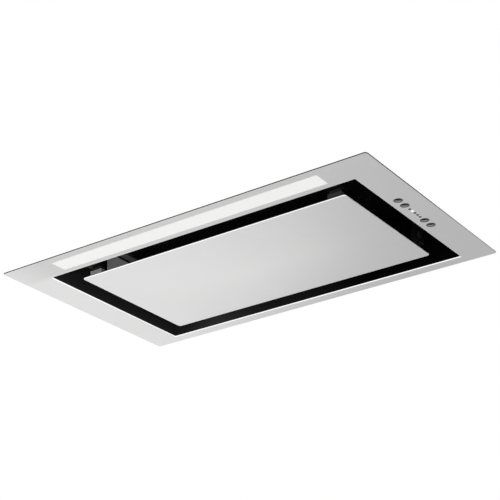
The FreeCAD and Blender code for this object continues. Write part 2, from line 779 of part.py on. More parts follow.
def panel():
    """The suction panel: its skin, the stiffening pan behind it, its catch plates and its hinge arms."""
    across = ("-panel_right", "panel_right")
    skin = sheet_body("panel_skin", across, ("panel_front", "panel_rear"), "panel_sheet", "panel_corner", "face")
    keep("panel_skin", skin)

    def pan(name, inset, z):
        x = f"panel_right - backing_margin - ({inset})"
        y = f"backing_end_margin + ({inset})"
        return block(name, (f"-({x})", x), (f"panel_front + {y}", f"panel_rear - ({y})"), z)
    outer = pan("backing_outer", "0", ("panel_top", "panel_top + backing_height"))
    room = ("panel_top - overrun", "panel_top + backing_height - backing_sheet")
    inner = pan("backing_inner", "backing_sheet", room)
    keep("panel_backing", carved("panel_backing", outer, inner))

    x = ("strike_offset - strike_width / 2", "strike_offset + strike_width / 2")
    depth = ("strike_front", "strike_rear")
    parts = [
        block("strike_foot", x, depth, ("panel_top", "panel_top + strike_sheet")),
        block("strike_plate", x, ("strike_front", "strike_front + strike_sheet"), ("panel_top", "strike_top")),
        block("strike_flange", x, depth, ("strike_top - strike_sheet", "strike_top")),
    ]
    keep("catch_strikes", pair("catch_strikes", joined("strike", *parts)))

    reach = ("pivot_y - arm_width / 2", "pivot_y + arm_width / 2")
    plate = block("arm_plate", ("arm_in", "arm_out"), reach, ("panel_top", "pivot_z"))
    head = rod("arm_head", "X", "arm_width / 2", ("arm_in", "arm_out"), ("pivot_y", "pivot_z"))
    sole = ("panel_top", "panel_top + arm_foot_sheet")
    foot = block("arm_foot_plate", ("arm_in", "arm_in + arm_foot"), reach, sole)
    eye_span = ("arm_in - overrun", "arm_out + overrun")
    eye = rod("arm_eye", "X", "bush_radius + running_gap", eye_span, ("pivot_y", "pivot_z"))
    arm = carved("arm", joined("arm_blank", plate, head, foot), eye)
    keep("panel_hinge_arms", pair("panel_hinge_arms", arm))
    bore = "pin_radius + running_gap"
    profile = [
        (bore, "arm_in"),
        ("bush_radius", "arm_in"),
        ("bush_radius", "arm_out"),
        ("bush_flange_radius", "arm_out"),
        ("bush_flange_radius", "arm_out + bush_flange"),
        (bore, "arm_out + bush_flange"),
    ]
    bush = turned("bush", profile, "X", y="pivot_y", z="pivot_z")
    keep("hinge_bushes", pair("hinge_bushes", bush))


def hinge_and_catch():
    """The fixed half of the panel's hinge and the magnetic catches, both screwed to the recess tray."""
    reach = ("pivot_y - bracket_width / 2", "pivot_y + bracket_width / 2")
    height = ("pivot_z - bracket_drop", "bracket_top")
    plate = block("bracket_plate", ("bracket_in", "bracket_out"), reach, height)
    web = block("bracket_web", ("bracket_in", "recess_right"), reach, ("bracket_top - bracket_sheet", "bracket_top"))
    flange = block("bracket_flange", ("bracket_wall", "recess_right"), reach, height)
    eye = rod("bracket_eye", "X", "pin_radius + running_gap", ("bracket_in - overrun", "bracket_out + overrun"),
              ("pivot_y", "pivot_z"))
    rows = [f"pivot_y {sign} bracket_screw_spacing / 2" for sign in "-+"]
    holes = [drill(f"bracket_drill_{index}", "bolt", "X", ("bracket_wall", "recess_right"), (row, "pivot_z"))
             for index, row in enumerate(rows)]
    bracket = carved("bracket", joined("bracket_blank", plate, web, flange), eye, *holes)
    keep("hinge_brackets", pair("hinge_brackets", bracket))
    screws = [screw(f"bracket_screw_{index}", "bolt", "X", 1, "bracket_wall", (row, "pivot_z"))
              for index, row in enumerate(rows)]
    keep("hinge_bracket_screws", pair("hinge_bracket_screws", group("bracket_screw_pair", *screws)))
    profile = [
        ("0", "arm_in - pin_tail"),
        ("pin_radius", "arm_in - pin_tail"),
        ("pin_radius", "bracket_out"),
        ("pin_head_radius", "bracket_out"),
        ("pin_head_radius", "bracket_out + pin_head_height"),
        ("0", "bracket_out + pin_head_height"),
    ]
    keep("hinge_pins", pair("hinge_pins", turned("pin", profile, "X", y="pivot_y", z="pivot_z")))

    x = ("strike_offset - catch_width / 2", "strike_offset + catch_width / 2")
    base = block("catch_base", x, ("recess_front", "catch_face"), ("magnet_top", "magnet_top + catch_base_height"))
    arm = block("catch_arm", x, ("recess_front", "strike_rear"), ("magnet_top", "magnet_top + catch_arm_height"))
    at = ("strike_offset", "catch_screw_level")
    hole = drill("catch_drill", "bolt", "Y", ("recess_front", "catch_face"), at)
    keep("catch_bodies", pair("catch_bodies", carved("catch_body", joined("catch_blank", base, arm), hole)))
    length = ("strike_offset - magnet_length / 2", "strike_offset + magnet_length / 2")
    magnet = block("magnet", length, ("strike_front + strike_sheet", "strike_rear"), ("magnet_low", "magnet_top"))
    keep("catch_magnets", pair("catch_magnets", magnet))
    bolt = screw("catch_screw", "bolt", "Y", -1, "catch_face", at, "catch_sheet + tray_sheet + lens_rim")
    keep("catch_screws", pair("catch_screws", bolt))


def tray():
    """The black recess tray with the ledge and rests that carry the filter."""
    def plan(name, spread, z):
        x = f"recess_right + ({spread})"
        y = (f"recess_front - ({spread})", f"recess_rear + ({spread})")
        return block(name, (f"-({x})", x), y, z)
    blank = plan("tray_blank", "tray_sheet", ("deck", "tray_crown"))
    room = plan("tray_room", "0", ("deck - overrun", "ledge_low"))
    mouth = plan("tray_mouth", "-ledge_width", ("ledge_low - overrun", "tray_crown + overrun"))
    pan = carved("tray_pan", blank, room, mouth)
    rest_x = ("rest_spacing / 2 - rest_width / 2", "rest_spacing / 2 + rest_width / 2")
    rest_y = ("recess_rear - rest_depth", "recess_rear + tray_sheet / 2")
    rest = block("filter_rest", rest_x, rest_y, ("rest_top - rest_height", "rest_top"))
    welded = joined("tray_welded", pan, rest, mirrored("filter_rest_copy", rest))
    holes = []
    for index, sign in enumerate("-+"):
        at = (f"pivot_y {sign} bracket_screw_spacing / 2", "pivot_z")
        holes.append(drill(f"tray_side_drill_{index}", "bolt", "X", ("recess_right", "tray_right"), at))
    catch_at = ("strike_offset", "catch_screw_level")
    holes.append(drill("tray_front_drill", "bolt", "Y", ("recess_front - tray_sheet", "recess_front"), catch_at))
    right = group("tray_right_drills", *holes)
    slot_x = "latch_width / 2 + fit_gap"
    slot_y = ("recess_front - tray_sheet - overrun", "recess_front + overrun")
    slot_z = ("latch_low - fit_gap", "latch_high + fit_gap")
    slot = block("latch_slot", (f"-({slot_x})", slot_x), slot_y, slot_z)
    keep("recess_tray", carved("recess_tray", welded, pair("tray_drills", right), slot))


def fan_plan(name, spread, z):
    """A block on the plan of the fan box, made wider all round by a formula."""
    x = f"fan_right + ({spread})"
    return block(name, (f"-({x})", x), (f"fan_front - ({spread})", f"fan_rear + ({spread})"), z)


def fan_box():
    """The box on top of the body that holds the fan, flanged at its foot."""
    walls = fan_plan("fan_box_walls", "0", ("top_face", "fan_crown"))
    flange = fan_plan("fan_box_foot", "fan_box_flange", ("top_face", "top_face + fan_box_sheet"))
    room = fan_plan("fan_box_room", "-fan_box_sheet", ("top_face - overrun", "fan_roof"))
    roof = ("fan_roof", "fan_crown")
    diagonal = "collar_screw_radius * sqrt(0.5)"
    bolts = four("fan_roof_drills", drill("fan_roof_drill", "bolt", "Z", roof, (diagonal, diagonal)))
    mouth = rod("fan_outlet", "Z", "collar_in", ("fan_roof - overrun", "fan_crown + overrun"), ("0", "0"))
    foot = ("top_face", "top_face + fan_box_sheet")
    holes = [drill(f"fan_foot_drill_{index}", "tiny", "Z", foot, at) for index, at in enumerate(FAN_BOX_SCREWS)]
    rows = pair("fan_foot_drills", group("fan_foot_row", *holes))
    keep("fan_box", carved("fan_box", joined("fan_box_blank", walls, flange), room, mouth, bolts, rows))


def housing():
    """The sheet body above the frame, its screwed top and the spring clips that grip the cabinet board."""
    def walls(name, inset, z):
        x = f"housing_right - ({inset})"
        y = f"housing_rear - ({inset})"
        return block(name, (f"-({x})", x), (f"-({y})", y), z)
    blank = walls("housing_blank", "0", ("deck", "housing_crown"))
    room = walls("housing_room", "housing_sheet", ("deck - overrun", "housing_crown - housing_sheet"))
    mouth = walls("housing_mouth", "housing_lip", ("housing_crown - housing_lip", "housing_crown + overrun"))
    line = "angle_spacing / 2"
    wall_span = ("housing_in", "housing_right")
    corner = drill("housing_side_drill", "bolt", "X", wall_span, (line, "angle_hole"))
    clip_rows = [f"clip_spacing / 2 {sign} clip_rivet_spacing / 2" for sign in "-+"]
    rivet_holes = [drill(f"housing_clip_drill_{index}", "tiny", "X", wall_span, (row, "clip_rivet_level"))
                   for index, row in enumerate(clip_rows)]
    lip_span = ("housing_crown - housing_sheet", "top_face")
    side = ("housing_right - housing_lip / 2", "top_screw_row_spacing / 2")
    end = ("top_screw_spacing / 2", "housing_rear - housing_lip / 2")
    lip_holes = [drill(f"lip_drill_{index}", "tiny", "Z", lip_span, at) for index, at in enumerate((side, end))]
    drills = four("housing_drills", group("housing_quarter_drills", corner, *rivet_holes, *lip_holes))
    keep("housing_shell", carved("housing_shell", blank, room, mouth, drills))

    plate = walls("top_blank", "0", ("housing_crown", "top_face"))
    top_span = ("housing_crown - overrun", "top_face + overrun")
    hanger = rod("hanger_drill", "Z", "hanger_hole", top_span, ("hanger_spacing / 2", "hanger_row_spacing / 2"))
    lid_holes = [drill(f"top_drill_{index}", "tiny", "Z", lip_span, at) for index, at in enumerate((side, end))]
    quarter = four("top_drills", group("top_quarter_drills", hanger, *lid_holes))
    intake = fan_plan("top_intake", "-fan_box_sheet", top_span)
    fan_holes = [drill(f"top_fan_drill_{index}", "tiny", "Z", ("housing_crown", "top_face"), at)
                 for index, at in enumerate(FAN_BOX_SCREWS)]
    fan_rows = pair("top_fan_drills", group("top_fan_row", *fan_holes))
    keep("housing_top", carved("housing_top", plate, quarter, intake, fan_rows))
    lip_screws = [screw(f"top_screw_{index}", "tiny", "Z", -1, "top_face", at)
                  for index, at in enumerate((side, end))]
    fan_screws = [screw(f"fan_box_screw_{index}", "tiny", "Z", -1, "top_face + fan_box_sheet", at)
                  for index, at in enumerate(FAN_BOX_SCREWS)]
    quarters = four("lip_screws", group("lip_screw_pair", *lip_screws))
    fan_screw_rows = pair("fan_box_screws", group("fan_box_screw_row", *fan_screws))
    keep("housing_screws", group("housing_screws", quarters, fan_screw_rows))

    knee_out = "housing_right + clip_sheet"
    profile = [
        ("housing_right", "clip_knee"),
        ("housing_right + clip_spread", "clip_foot"),
        (f"{knee_out} + clip_spread", "clip_foot"),
        (knee_out, "clip_knee + clip_sheet"),
        (knee_out, "clip_top"),
        ("housing_right", "clip_top"),
    ]
    leaf = profile_pad("clip_leaf", profile, "clip_width", y="clip_spacing / 2")
    leaf_holes = [drill(f"clip_drill_{index}", "tiny", "X", ("housing_right", "clip_out"), (row, "clip_rivet_level"))
                  for index, row in enumerate(clip_rows)]
    keep("side_clips", four("side_clips", carved("side_clip", leaf, *leaf_holes)))
    rivets = [screw(f"clip_rivet_{index}", "tiny", "X", -1, "clip_out", (row, "clip_rivet_level"),
                    "clip_sheet + housing_sheet + fit_gap") for index, row in enumerate(clip_rows)]
    keep("side_clip_rivets", four("side_clip_rivets", group("clip_rivet_pair", *rivets)))


def grease_filter():
    """The filter frame with its mesh, and the sliding latch that holds its front edge."""
    def plan(name, inset, z):
        x = f"filter_right - ({inset})"
        return block(name, (f"-({x})", x), (f"filter_front + ({inset})", f"filter_rear - ({inset})"), z)
    blank = plan("filter_blank", "0", ("filter_low", "filter_top"))
    mouth = plan("filter_mouth", "filter_border", ("filter_low - overrun", "filter_top + overrun"))
    channel = ("filter_low + filter_lip", "filter_top - filter_lip")
    groove = plan("filter_groove", "filter_border - filter_web", channel)
    keep("filter_frame", carved("filter_frame", blank, mouth, groove))
    edge = "filter_border - filter_web + fit_gap"
    lower = plan("mesh_lower", edge, ("filter_low + filter_lip", "filter_low + filter_lip + mesh_sheet"))
    upper = plan("mesh_upper", edge, ("filter_top - filter_lip - mesh_sheet", "filter_top - filter_lip"))
    keep("filter_mesh", group("filter_mesh", lower, upper))

    half = "latch_width / 2"
    room = f"{half} + hole_gap"
    depth = ("filter_front", "filter_front + guide_depth")
    width = (f"-({half} + guide_wall)", f"{half} + guide_wall")
    body = block("guide_blank", width, depth, ("guide_bottom", "filter_low"))
    slot_y = ("filter_front - overrun", "filter_front + guide_depth + overrun")
    slot = block("guide_slot", (f"-({room})", room), slot_y, ("latch_low - hole_gap", "latch_high + hole_gap"))
    keep("latch_guide", carved("latch_guide", body, slot))
    bolt = block("latch_bolt", (f"-{half}", half), ("latch_tip", "latch_end"), ("latch_low", "latch_high"))
    grip = block("latch_grip_plate", (f"-{half}", half), ("latch_end - latch_grip_sheet", "latch_end"),
                 ("latch_high - latch_grip", "latch_high"))
    keep("filter_latch", joined("filter_latch", bolt, grip))


def volute(offset, crown):
    """A face in the fan's side plane: three quarter arcs that step outwards, then straight up to the outlet."""
    centre_y = size("fan_y")
    centre_z = size("axis_height")
    step = size("scroll_step")
    radii = [size("scroll_radius") + index * step + offset for index in range(3)]
    centres = [(centre_y, centre_z), (centre_y - step, centre_z), (centre_y - step, centre_z + step)]
    turns = [(math.acos(offset / radii[0]), 0), (0, -math.pi / 2), (-math.pi / 2, -math.pi)]

    def point(index, angle):
        y = centres[index][0] + radii[index] * math.cos(angle)
        z = centres[index][1] + radii[index] * math.sin(angle)
        return FreeCAD.Vector(0, y, z)
    edges = []
    for index, (start, end) in enumerate(turns):
        arc = Part.Arc(point(index, start), point(index, (start + end) / 2), point(index, end))
        edges.append(arc.toShape())
    front = point(2, turns[2][1])
    tongue = point(0, turns[0][0])
    front_top = FreeCAD.Vector(0, front.y, crown)
    rear_top = FreeCAD.Vector(0, tongue.y, crown)
    corners = [front, front_top, rear_top, tongue]
    edges.extend(Part.makeLine(a, b) for a, b in zip(corners, corners[1:]))
    return Part.Face(Part.Wire(edges))


def scroll_bosses():
    """The places, in the fan's side plane, of the bosses that screw the scroll halves together."""
    reach = size("scroll_wall") + size("scroll_boss_radius") * BOSS_SET_SHARE
    step = size("scroll_step")
    front = size("scroll_radius") + 2 * step + reach
    rear_corner = (size("scroll_radius") + step + reach) * math.sqrt(0.5)
    front_corner = front * math.sqrt(0.5)
    y = size("fan_y") - step
    z = size("axis_height")
    return [(y + rear_corner, z - rear_corner), (y - front, z + step), (y - front_corner, z + step - front_corner)]


def along_x(radius, low, high, y, z):
    """A cylinder along X."""
    return Part.makeCylinder(radius, high - low, FreeCAD.Vector(low, y, z), FreeCAD.Vector(1, 0, 0))


def scroll():
    """The two halves of the fan scroll, hung under the top by a flange round the outlet."""
    half = size("scroll_half")
    wall = size("scroll_wall")
    over = size("overrun")
    crown = size("fan_roof")
    flange = size("scroll_flange")
    shift = FreeCAD.Vector(half, 0, 0)
    shell = volute(wall, crown).extrude(shift)
    neck = size("fan_y") + wall + flange
    rim = Part.makeBox(half + flange, 2 * neck, size("scroll_flange_sheet"),
                       FreeCAD.Vector(0, -neck, crown - size("scroll_flange_sheet")))
    solid = shell.fuse(rim)
    boss_radius = size("scroll_boss_radius")
    for y, z in scroll_bosses():
        solid = solid.fuse(along_x(boss_radius, 0, size("scroll_boss_length"), y, z))
    cavity = volute(0, crown + over).extrude(FreeCAD.Vector(half - wall + over, 0, 0))
    cavity.translate(FreeCAD.Vector(-over, 0, 0))
    solid = solid.cut(cavity)
    fan_at = (size("fan_y"), size("axis_height"))
    solid = solid.cut(along_x(size("inlet_radius"), half - wall - over, half + over, *fan_at))
    hole = size("tiny_radius") + size("hole_gap")
    for y, z in scroll_bosses():
        solid = solid.cut(along_x(hole, -over, size("scroll_boss_length") + over, y, z))
    bolt_hole = size("bolt_radius") + size("hole_gap")
    place = size("collar_screw_radius") * math.sqrt(0.5)
    for y in (-place, place):
        start = FreeCAD.Vector(place, y, crown - size("scroll_flange_sheet") - over)
        solid = solid.cut(Part.makeCylinder(bolt_hole, size("scroll_flange_sheet") + 2 * over, start))
    right = doc.addObject("Part::Feature", "scroll_right")
    right.Shape = solid.removeSplitter()
    keep("scroll_right", right)
    keep("scroll_left", mirrored("scroll_left", right))
    screws = []
    for index, (y, z) in enumerate(scroll_bosses()):
        item = screw(f"scroll_screw_{index}", "tiny", "X", -1, "scroll_boss_length", ("0", "0"),
                     "2 * scroll_boss_length")
        holder = doc.addObject("Part::Feature", f"scroll_screw_placed_{index}")
        doc.recompute()
        holder.Shape = item.Shape.translated(FreeCAD.Vector(0, y, z))
        screws.append(holder)
    keep("scroll_screws", group("scroll_screws", *screws))


def fan_wheel():
    """The double-inlet wheel: a middle disc on a hub, blades all round and a ring at each end."""
    at = ("fan_y", "axis_height")
    parts = [
        rod("wheel_disc_plate", "X", "wheel_radius - blade_depth / 2", ("-wheel_disc / 2", "wheel_disc / 2"), at),
        rod("wheel_hub", "X", "hub_radius", ("-hub_half", "hub_half"), at),
    ]
    ring_spans = (("-wheel_half", "wheel_ring - wheel_half"), ("wheel_half - wheel_ring", "wheel_half"))
    for index, span in enumerate(ring_spans):
        outer = rod(f"wheel_ring_outer_{index}", "X", "wheel_radius", span, at)
        span_over = (f"{span[0]} - overrun", f"{span[1]} + overrun")
        inner = rod(f"wheel_ring_inner_{index}", "X", "wheel_in", span_over, at)
        parts.append(carved(f"wheel_ring_{index}", outer, inner))
    axis = FreeCAD.Vector(1, 0, 0)
    for index in range(BLADE_COUNT):
        blade = doc.addObject("Part::Box", f"blade_{index}")
        tie(blade, Length="2 * wheel_half - wheel_ring", Width="blade_depth - 2 * blade_sheet", Height="blade_sheet")
        angle = 360.0 * index / BLADE_COUNT
        blade.Placement = FreeCAD.Placement(FreeCAD.Vector(), FreeCAD.Rotation(axis, angle))
        blade.setExpression("Placement.Base.x", bound("wheel_ring / 2 - wheel_half"))
        lean = f"cos({angle})"
        side = f"sin({angle})"
        root = "(wheel_in + blade_sheet)"
        blade.setExpression("Placement.Base.y", bound(f"fan_y + {root} * {lean} + blade_sheet / 2 * {side}"))
        blade.setExpression("Placement.Base.z", bound(f"axis_height + {root} * {side} - blade_sheet / 2 * {lean}"))
        parts.append(blade)
    bore_span = ("-hub_half - overrun", "hub_half + overrun")
    bore = rod("wheel_bore", "X", "shaft_radius + running_gap", bore_span, at)
    keep("impeller_wheel", carved("impeller_wheel", joined("wheel_blank", *parts), bore))


def motor():
    """The motor inside one half of the wheel, held on the scroll's side by a three-armed spider."""
    at = {"turn": "X", "y": "fan_y", "z": "axis_height"}
    seat = "bearing_radius + running_gap"
    shell = [
        (seat, "motor_setback"),
        ("motor_radius", "motor_setback"),
        ("motor_radius", "motor_far"),
        (seat, "motor_far"),
        (seat, "motor_far - motor_end"),
        ("motor_inside", "motor_far - motor_end"),
        ("motor_inside", "motor_setback + motor_end"),
        (seat, "motor_setback + motor_end"),
    ]
    keep("motor_can", turned("motor_can", shell, **at))

    def ring(name, inner, outer, low, high):
        points = [(inner, low), (outer, low), (outer, high), (inner, high)]
        return turned(name, points, **at)
    near = ring("bearing_near", "bearing_bore", "bearing_radius", "motor_setback", "motor_setback + motor_end")
    far = ring("bearing_far", "bearing_bore", "bearing_radius", "motor_far - motor_end", "motor_far")
    keep("motor_bearings", group("motor_bearings", near, far))
    stator_in = "rotor_radius + rotor_gap"
    stator_out = "motor_inside - running_gap"
    keep("motor_stator", ring("motor_stator", stator_in, stator_out, "rotor_near", "rotor_far"))
    keep("motor_rotor", ring("motor_rotor", "shaft_radius + running_gap", "rotor_radius", "rotor_near", "rotor_far"))
    low = "-hub_half - shaft_tail"
    high = "motor_far + shaft_tail"
    keep("motor_shaft", rod("motor_shaft", "X", "shaft_radius", (low, high), ("fan_y", "axis_height")))

    bore = "motor_radius + running_gap"
    hoop = ring("spider_hoop", bore, "motor_radius + spider_ring", "scroll_half", "scroll_half + spider_depth")
    arms = []
    axis = FreeCAD.Vector(1, 0, 0)
    for index in range(3):
        arm = doc.addObject("Part::Box", f"spider_arm_{index}")
        inside = "(motor_radius + spider_ring / 2)"
        tie(arm, Length="spider_arm_sheet", Width=f"spider_reach - {inside}", Height="spider_arm_width")
        angle = 360.0 * index / 3
        arm.Placement = FreeCAD.Placement(FreeCAD.Vector(), FreeCAD.Rotation(axis, angle))
        lean = f"cos({angle})"
        side = f"sin({angle})"
        arm.setExpression("Placement.Base.x", bound("scroll_half"))
        half = "spider_arm_width / 2"
        arm.setExpression("Placement.Base.y", bound(f"fan_y + {inside} * {lean} + {half} * {side}"))
        arm.setExpression("Placement.Base.z", bound(f"axis_height + {inside} * {side} - {half} * {lean}"))
        arms.append(arm)
    keep("motor_spider", joined("motor_spider", hoop, *arms))


def outlet():
    """The round outlet collar with its stop ring, and the two non-return flaps on one pin."""
    stop = "collar_in - stop_width"
    profile = [
        (stop, "fan_crown"),
        ("collar_flange_radius", "fan_crown"),
        ("collar_flange_radius", "fan_crown + collar_flange"),
        ("collar_radius", "fan_crown + collar_flange"),
        ("collar_radius", "collar_top"),
        ("collar_in", "collar_top"),
        ("collar_in", "stop_top"),
        (stop, "stop_top"),
    ]
    blank = turned("collar_blank", profile)
    pin_hole = rod("collar_pin_hole", "X", "flap_pin_radius + running_gap",
                   ("-collar_radius - overrun", "collar_radius + overrun"), ("0", "flap_level"))
    diagonal = "collar_screw_radius * sqrt(0.5)"
    flange_span = ("fan_crown", "fan_crown + collar_flange")
    bolt_holes = four("collar_drills", drill("collar_drill", "bolt", "Z", flange_span, (diagonal, diagonal)))
    keep("exhaust_collar", carved("exhaust_collar", blank, pin_hole, bolt_holes))
    bolt = screw("collar_screw", "bolt", "Z", -1, "fan_crown + collar_flange", (diagonal, diagonal))
    keep("collar_screws", four("collar_screws", bolt))
    pin_end = "collar_radius - running_gap - collar_wall / 2"
    keep("damper_pin", rod("damper_pin", "X", "flap_pin_radius", (f"-({pin_end})", pin_end), ("0", "flap_level")))

    layer = ("flap_level - flap_sheet / 2", "flap_level + flap_sheet / 2")
    disc = rod("flap_disc", "Z", "flap_radius", layer, ("0", "0"))
    over = "flap_radius + overrun"
    rear = block("flap_rear_half", (f"-({over})", over), ("-flap_edge", over),
                 (f"{layer[0]} - overrun", f"{layer[1]} + overrun"))
    parts = [carved("flap_plate", disc, rear)]
    for index, (low, high) in enumerate(KNUCKLE_SHARES):
        span = (f"flap_radius * {low} + knuckle_side_gap", f"flap_radius * {high} - knuckle_side_gap")
        parts.append(rod(f"knuckle_{index}", "X", "knuckle_radius", span, ("0", "flap_level")))
        parts.append(block(f"knuckle_web_{index}", span, ("-flap_edge - flap_sheet", "0"), layer))
    whole = ("-flap_radius", "flap_radius")
    eye = rod("knuckle_eye", "X", "flap_pin_radius + running_gap", whole, ("0", "flap_level"))
    front = carved("damper_flap_front", joined("flap_blank", *parts), eye)
    keep("damper_flap_front", front)
    keep("damper_flap_rear", mirrored("damper_flap_rear", mirrored("flap_half_turn", front, "X"), "Y"))


def electrical():
    """The terminal box with its cable gland, the motor's capacitor and the lamp driver."""
    def case(name, inset, z):
        x = f"terminal_width / 2 - ({inset})"
        y = f"terminal_length / 2 - ({inset})"
        return block(name, (f"terminal_x - ({x})", f"terminal_x + ({x})"), (f"-({y})", y), z)
    rear = "terminal_length / 2"
    level = "top_face + terminal_height / 2"
    blank = case("terminal_blank", "0", ("top_face", "top_face + terminal_height"))
    inside = ("top_face - overrun", "top_face + terminal_height - terminal_wall")
    room = case("terminal_room", "terminal_wall", inside)
    entry = rod("terminal_entry", "Y", "gland_radius + hole_gap",
                (f"{rear} - terminal_wall - overrun", f"{rear} + overrun"), ("terminal_x", level))
    keep("terminal_box", carved("terminal_box", blank, room, entry))
    nut_near = f"{rear} + gland_flange"
    nut_far = f"{nut_near} + gland_nut_height"
    profile = [
        ("gland_bore", f"{rear} - terminal_wall"),
        ("gland_radius", f"{rear} - terminal_wall"),
        ("gland_radius", rear),
        ("gland_flange_radius", rear),
        ("gland_flange_radius", nut_near),
        ("gland_nut_radius", nut_near),
        ("gland_nut_radius", nut_far),
        ("gland_tip_radius", f"{nut_far} + gland_tip_height"),
        ("gland_bore", f"{nut_far} + gland_tip_height"),
    ]
    keep("cable_gland", turned("cable_gland", profile, "Y", x="terminal_x", z=level))
    low = "fan_roof - capacitor_length"
    profile = [
        ("0", low),
        ("capacitor_radius - capacitor_rim", low),
        ("capacitor_radius", f"{low} + capacitor_rim"),
        ("capacitor_radius", "fan_roof"),
        ("0", "fan_roof"),
    ]
    keep("capacitor", turned("capacitor", profile, x="capacitor_x", y="capacitor_y"))

    middle = "(tray_right + housing_in) / 2"
    x = (f"-{middle} - driver_width / 2", f"-{middle} + driver_width / 2")
    body = block("driver_case", x, ("-driver_length / 2", "driver_length / 2"), ("deck", "deck + driver_height"))
    reach = "driver_length / 2 + driver_ear"
    ears = block("driver_ears", x, (f"-({reach})", reach), ("deck", "deck + driver_ear_sheet"))
    keep("led_driver", joined("led_driver", body, ears))


def check():
    """Stop if any object failed to build or any sub-part is empty or invalid."""
    for item in doc.Objects:
        if {"Invalid", "Error"} & set(item.State):
            raise RuntimeError(f"{item.Label} failed: {item.State}")
    for label, item in subparts.items():
        if item.Shape.isNull() or not item.Shape.isValid() or not item.Shape.Solids:
            raise RuntimeError(f"{label} has no valid solid")


def export():
    """Write one file for each sub-part."""
    os.makedirs("parts", exist_ok=True)
    for label, item in subparts.items():
        item.Shape.exportStep(f"parts/{label}.step")
    print(len(subparts), "sub-parts,", sum(len(item.Shape.Solids) for item in subparts.values()), "solids")


fill_sheets()
fascia()
keep("board_screws", group("board_screws", *lamp(), *controls()))
for build in (buttons, panel, hinge_and_catch, tray, housing, fan_box, grease_filter,
              scroll, fan_wheel, motor, outlet, electrical):
    build()
doc.recompute()
check()
export()
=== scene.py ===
"""Looks of a built-in range hood: frame, suction panel, light strip, push buttons, filter, body and fan.

Every mesh is in metres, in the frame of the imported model. The sizes in the classes below are millimetres.
"""

import json
import logging
import math
from dataclasses import dataclass, replace
from enum import Enum
from typing import ClassVar, Iterable, Sequence

import bmesh
import bpy
from bmesh.types import BMEdge, BMesh
from bpy.types import Material, Mesh, Node, NodeSocket, NodeTree, Object
from mathutils import Matrix, Quaternion, Vector

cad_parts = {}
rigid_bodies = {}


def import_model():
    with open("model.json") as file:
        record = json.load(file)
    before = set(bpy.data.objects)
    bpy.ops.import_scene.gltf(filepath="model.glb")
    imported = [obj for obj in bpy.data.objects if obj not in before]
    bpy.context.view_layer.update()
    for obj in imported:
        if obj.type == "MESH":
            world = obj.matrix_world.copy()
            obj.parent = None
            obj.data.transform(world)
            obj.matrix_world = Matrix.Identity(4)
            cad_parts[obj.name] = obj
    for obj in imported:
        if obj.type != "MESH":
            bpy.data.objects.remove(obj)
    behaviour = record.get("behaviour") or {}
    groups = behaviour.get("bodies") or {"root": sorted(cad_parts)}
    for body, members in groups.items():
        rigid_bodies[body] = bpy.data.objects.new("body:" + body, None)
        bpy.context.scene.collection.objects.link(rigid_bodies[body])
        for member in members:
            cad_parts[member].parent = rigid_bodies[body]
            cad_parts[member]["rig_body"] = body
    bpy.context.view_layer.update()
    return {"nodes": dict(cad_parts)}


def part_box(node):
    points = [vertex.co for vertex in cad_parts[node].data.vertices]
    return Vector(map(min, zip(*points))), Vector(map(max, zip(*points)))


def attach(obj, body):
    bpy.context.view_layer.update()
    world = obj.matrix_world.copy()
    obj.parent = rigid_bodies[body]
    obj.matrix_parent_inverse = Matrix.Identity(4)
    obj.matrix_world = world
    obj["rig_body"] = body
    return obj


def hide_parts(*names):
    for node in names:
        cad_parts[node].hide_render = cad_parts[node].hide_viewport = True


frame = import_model()

MM = 0.001

# Segments of a round corner, a hole, a turned shape and an eased edge, and the roundness of that edge.
ROUND_STEPS = 6
CIRCLE_STEPS = 40
TURN_STEPS = 64
EASE_STEPS = 2
ROUND_PROFILE = 0.5

# Angles between faces that make an edge sharp or one flat face, and metres under which points are one.
SHARP_ANGLE = math.radians(35)
FLAT_ANGLE = math.radians(0.5)
TOUCH = 1e-6
PLACES = 6
NORMAL_WEIGHT = 100

# How much of a short side its rounding may take, and how far out the points of a fastener's head are.
SHORT_SIDE_SHARE = 0.45
HEAD_SHARE = 0.95

# Limits on the upright part of a face's normal: faces that look down, edges of a plate, and all faces.
FACING_DOWN = -0.9
EDGE_FACES = 0.99
ALL_FACES = 1.1

# A box in x and y, in metres, that holds the whole hood.
EVERYWHERE = ((-1.0, -1.0), (1.0, 1.0))

# Values of the patterns, and the sums of pattern and handling marks between which the roughness runs.
WAVE_SCALE = 0.3
WAVE_DISTORTION = 0.6
NOISE_DETAIL = 4.0
GLOSS_RANGE = (0.4, 1.6)
WHITE = (1.0, 1.0, 1.0, 1.0)

Point = tuple[float, float]
Triple = tuple[float, float, float]
log = logging.getLogger("range_hood")


def grey(level: float) -> Triple:
    """A neutral colour."""
    return (level, level, level)


def feed(tree: NodeTree, node: Node, **wires: object) -> None:
    """Link or set some inputs of a node.

    Args:
        tree: The tree that holds the node.
        node: The node.
        **wires: A socket or a fixed value for each input. Blanks in its name are underscores, and _0 is
            the first input.
    """
    for name, value in wires.items():
        enabled = [socket for socket in node.inputs if socket.enabled]
        target = enabled[int(name[1:])] if name[1:].isdigit() else next(
            socket for socket in enabled if socket.name == name.replace("_", " "))
        if isinstance(value, NodeSocket):
            tree.links.new(value, target)
        else:
            target.default_value = value


def add_node(tree: NodeTree, kind: str, settings: dict[str, object] | None = None,
             **wires: object) -> Node:
    """Add a node to a tree.

    Args:
        tree: The tree.
        kind: The node's type.
        settings: Properties of the node.
        **wires: Its inputs, as for feed.

    Returns:
        The node.
    """
    node = tree.nodes.new(kind)
    for name, value in (settings or {}).items():
        setattr(node, name, value)
    feed(tree, node, **wires)
    return node


def number(tree: NodeTree, operation: str, *values: object) -> NodeSocket:
    """The result of one sum of numbers or sockets."""
    wires = {f"_{index}": value for index, value in enumerate(values)}
    return add_node(tree, "ShaderNodeMath", {"operation": operation}, **wires).outputs[0]


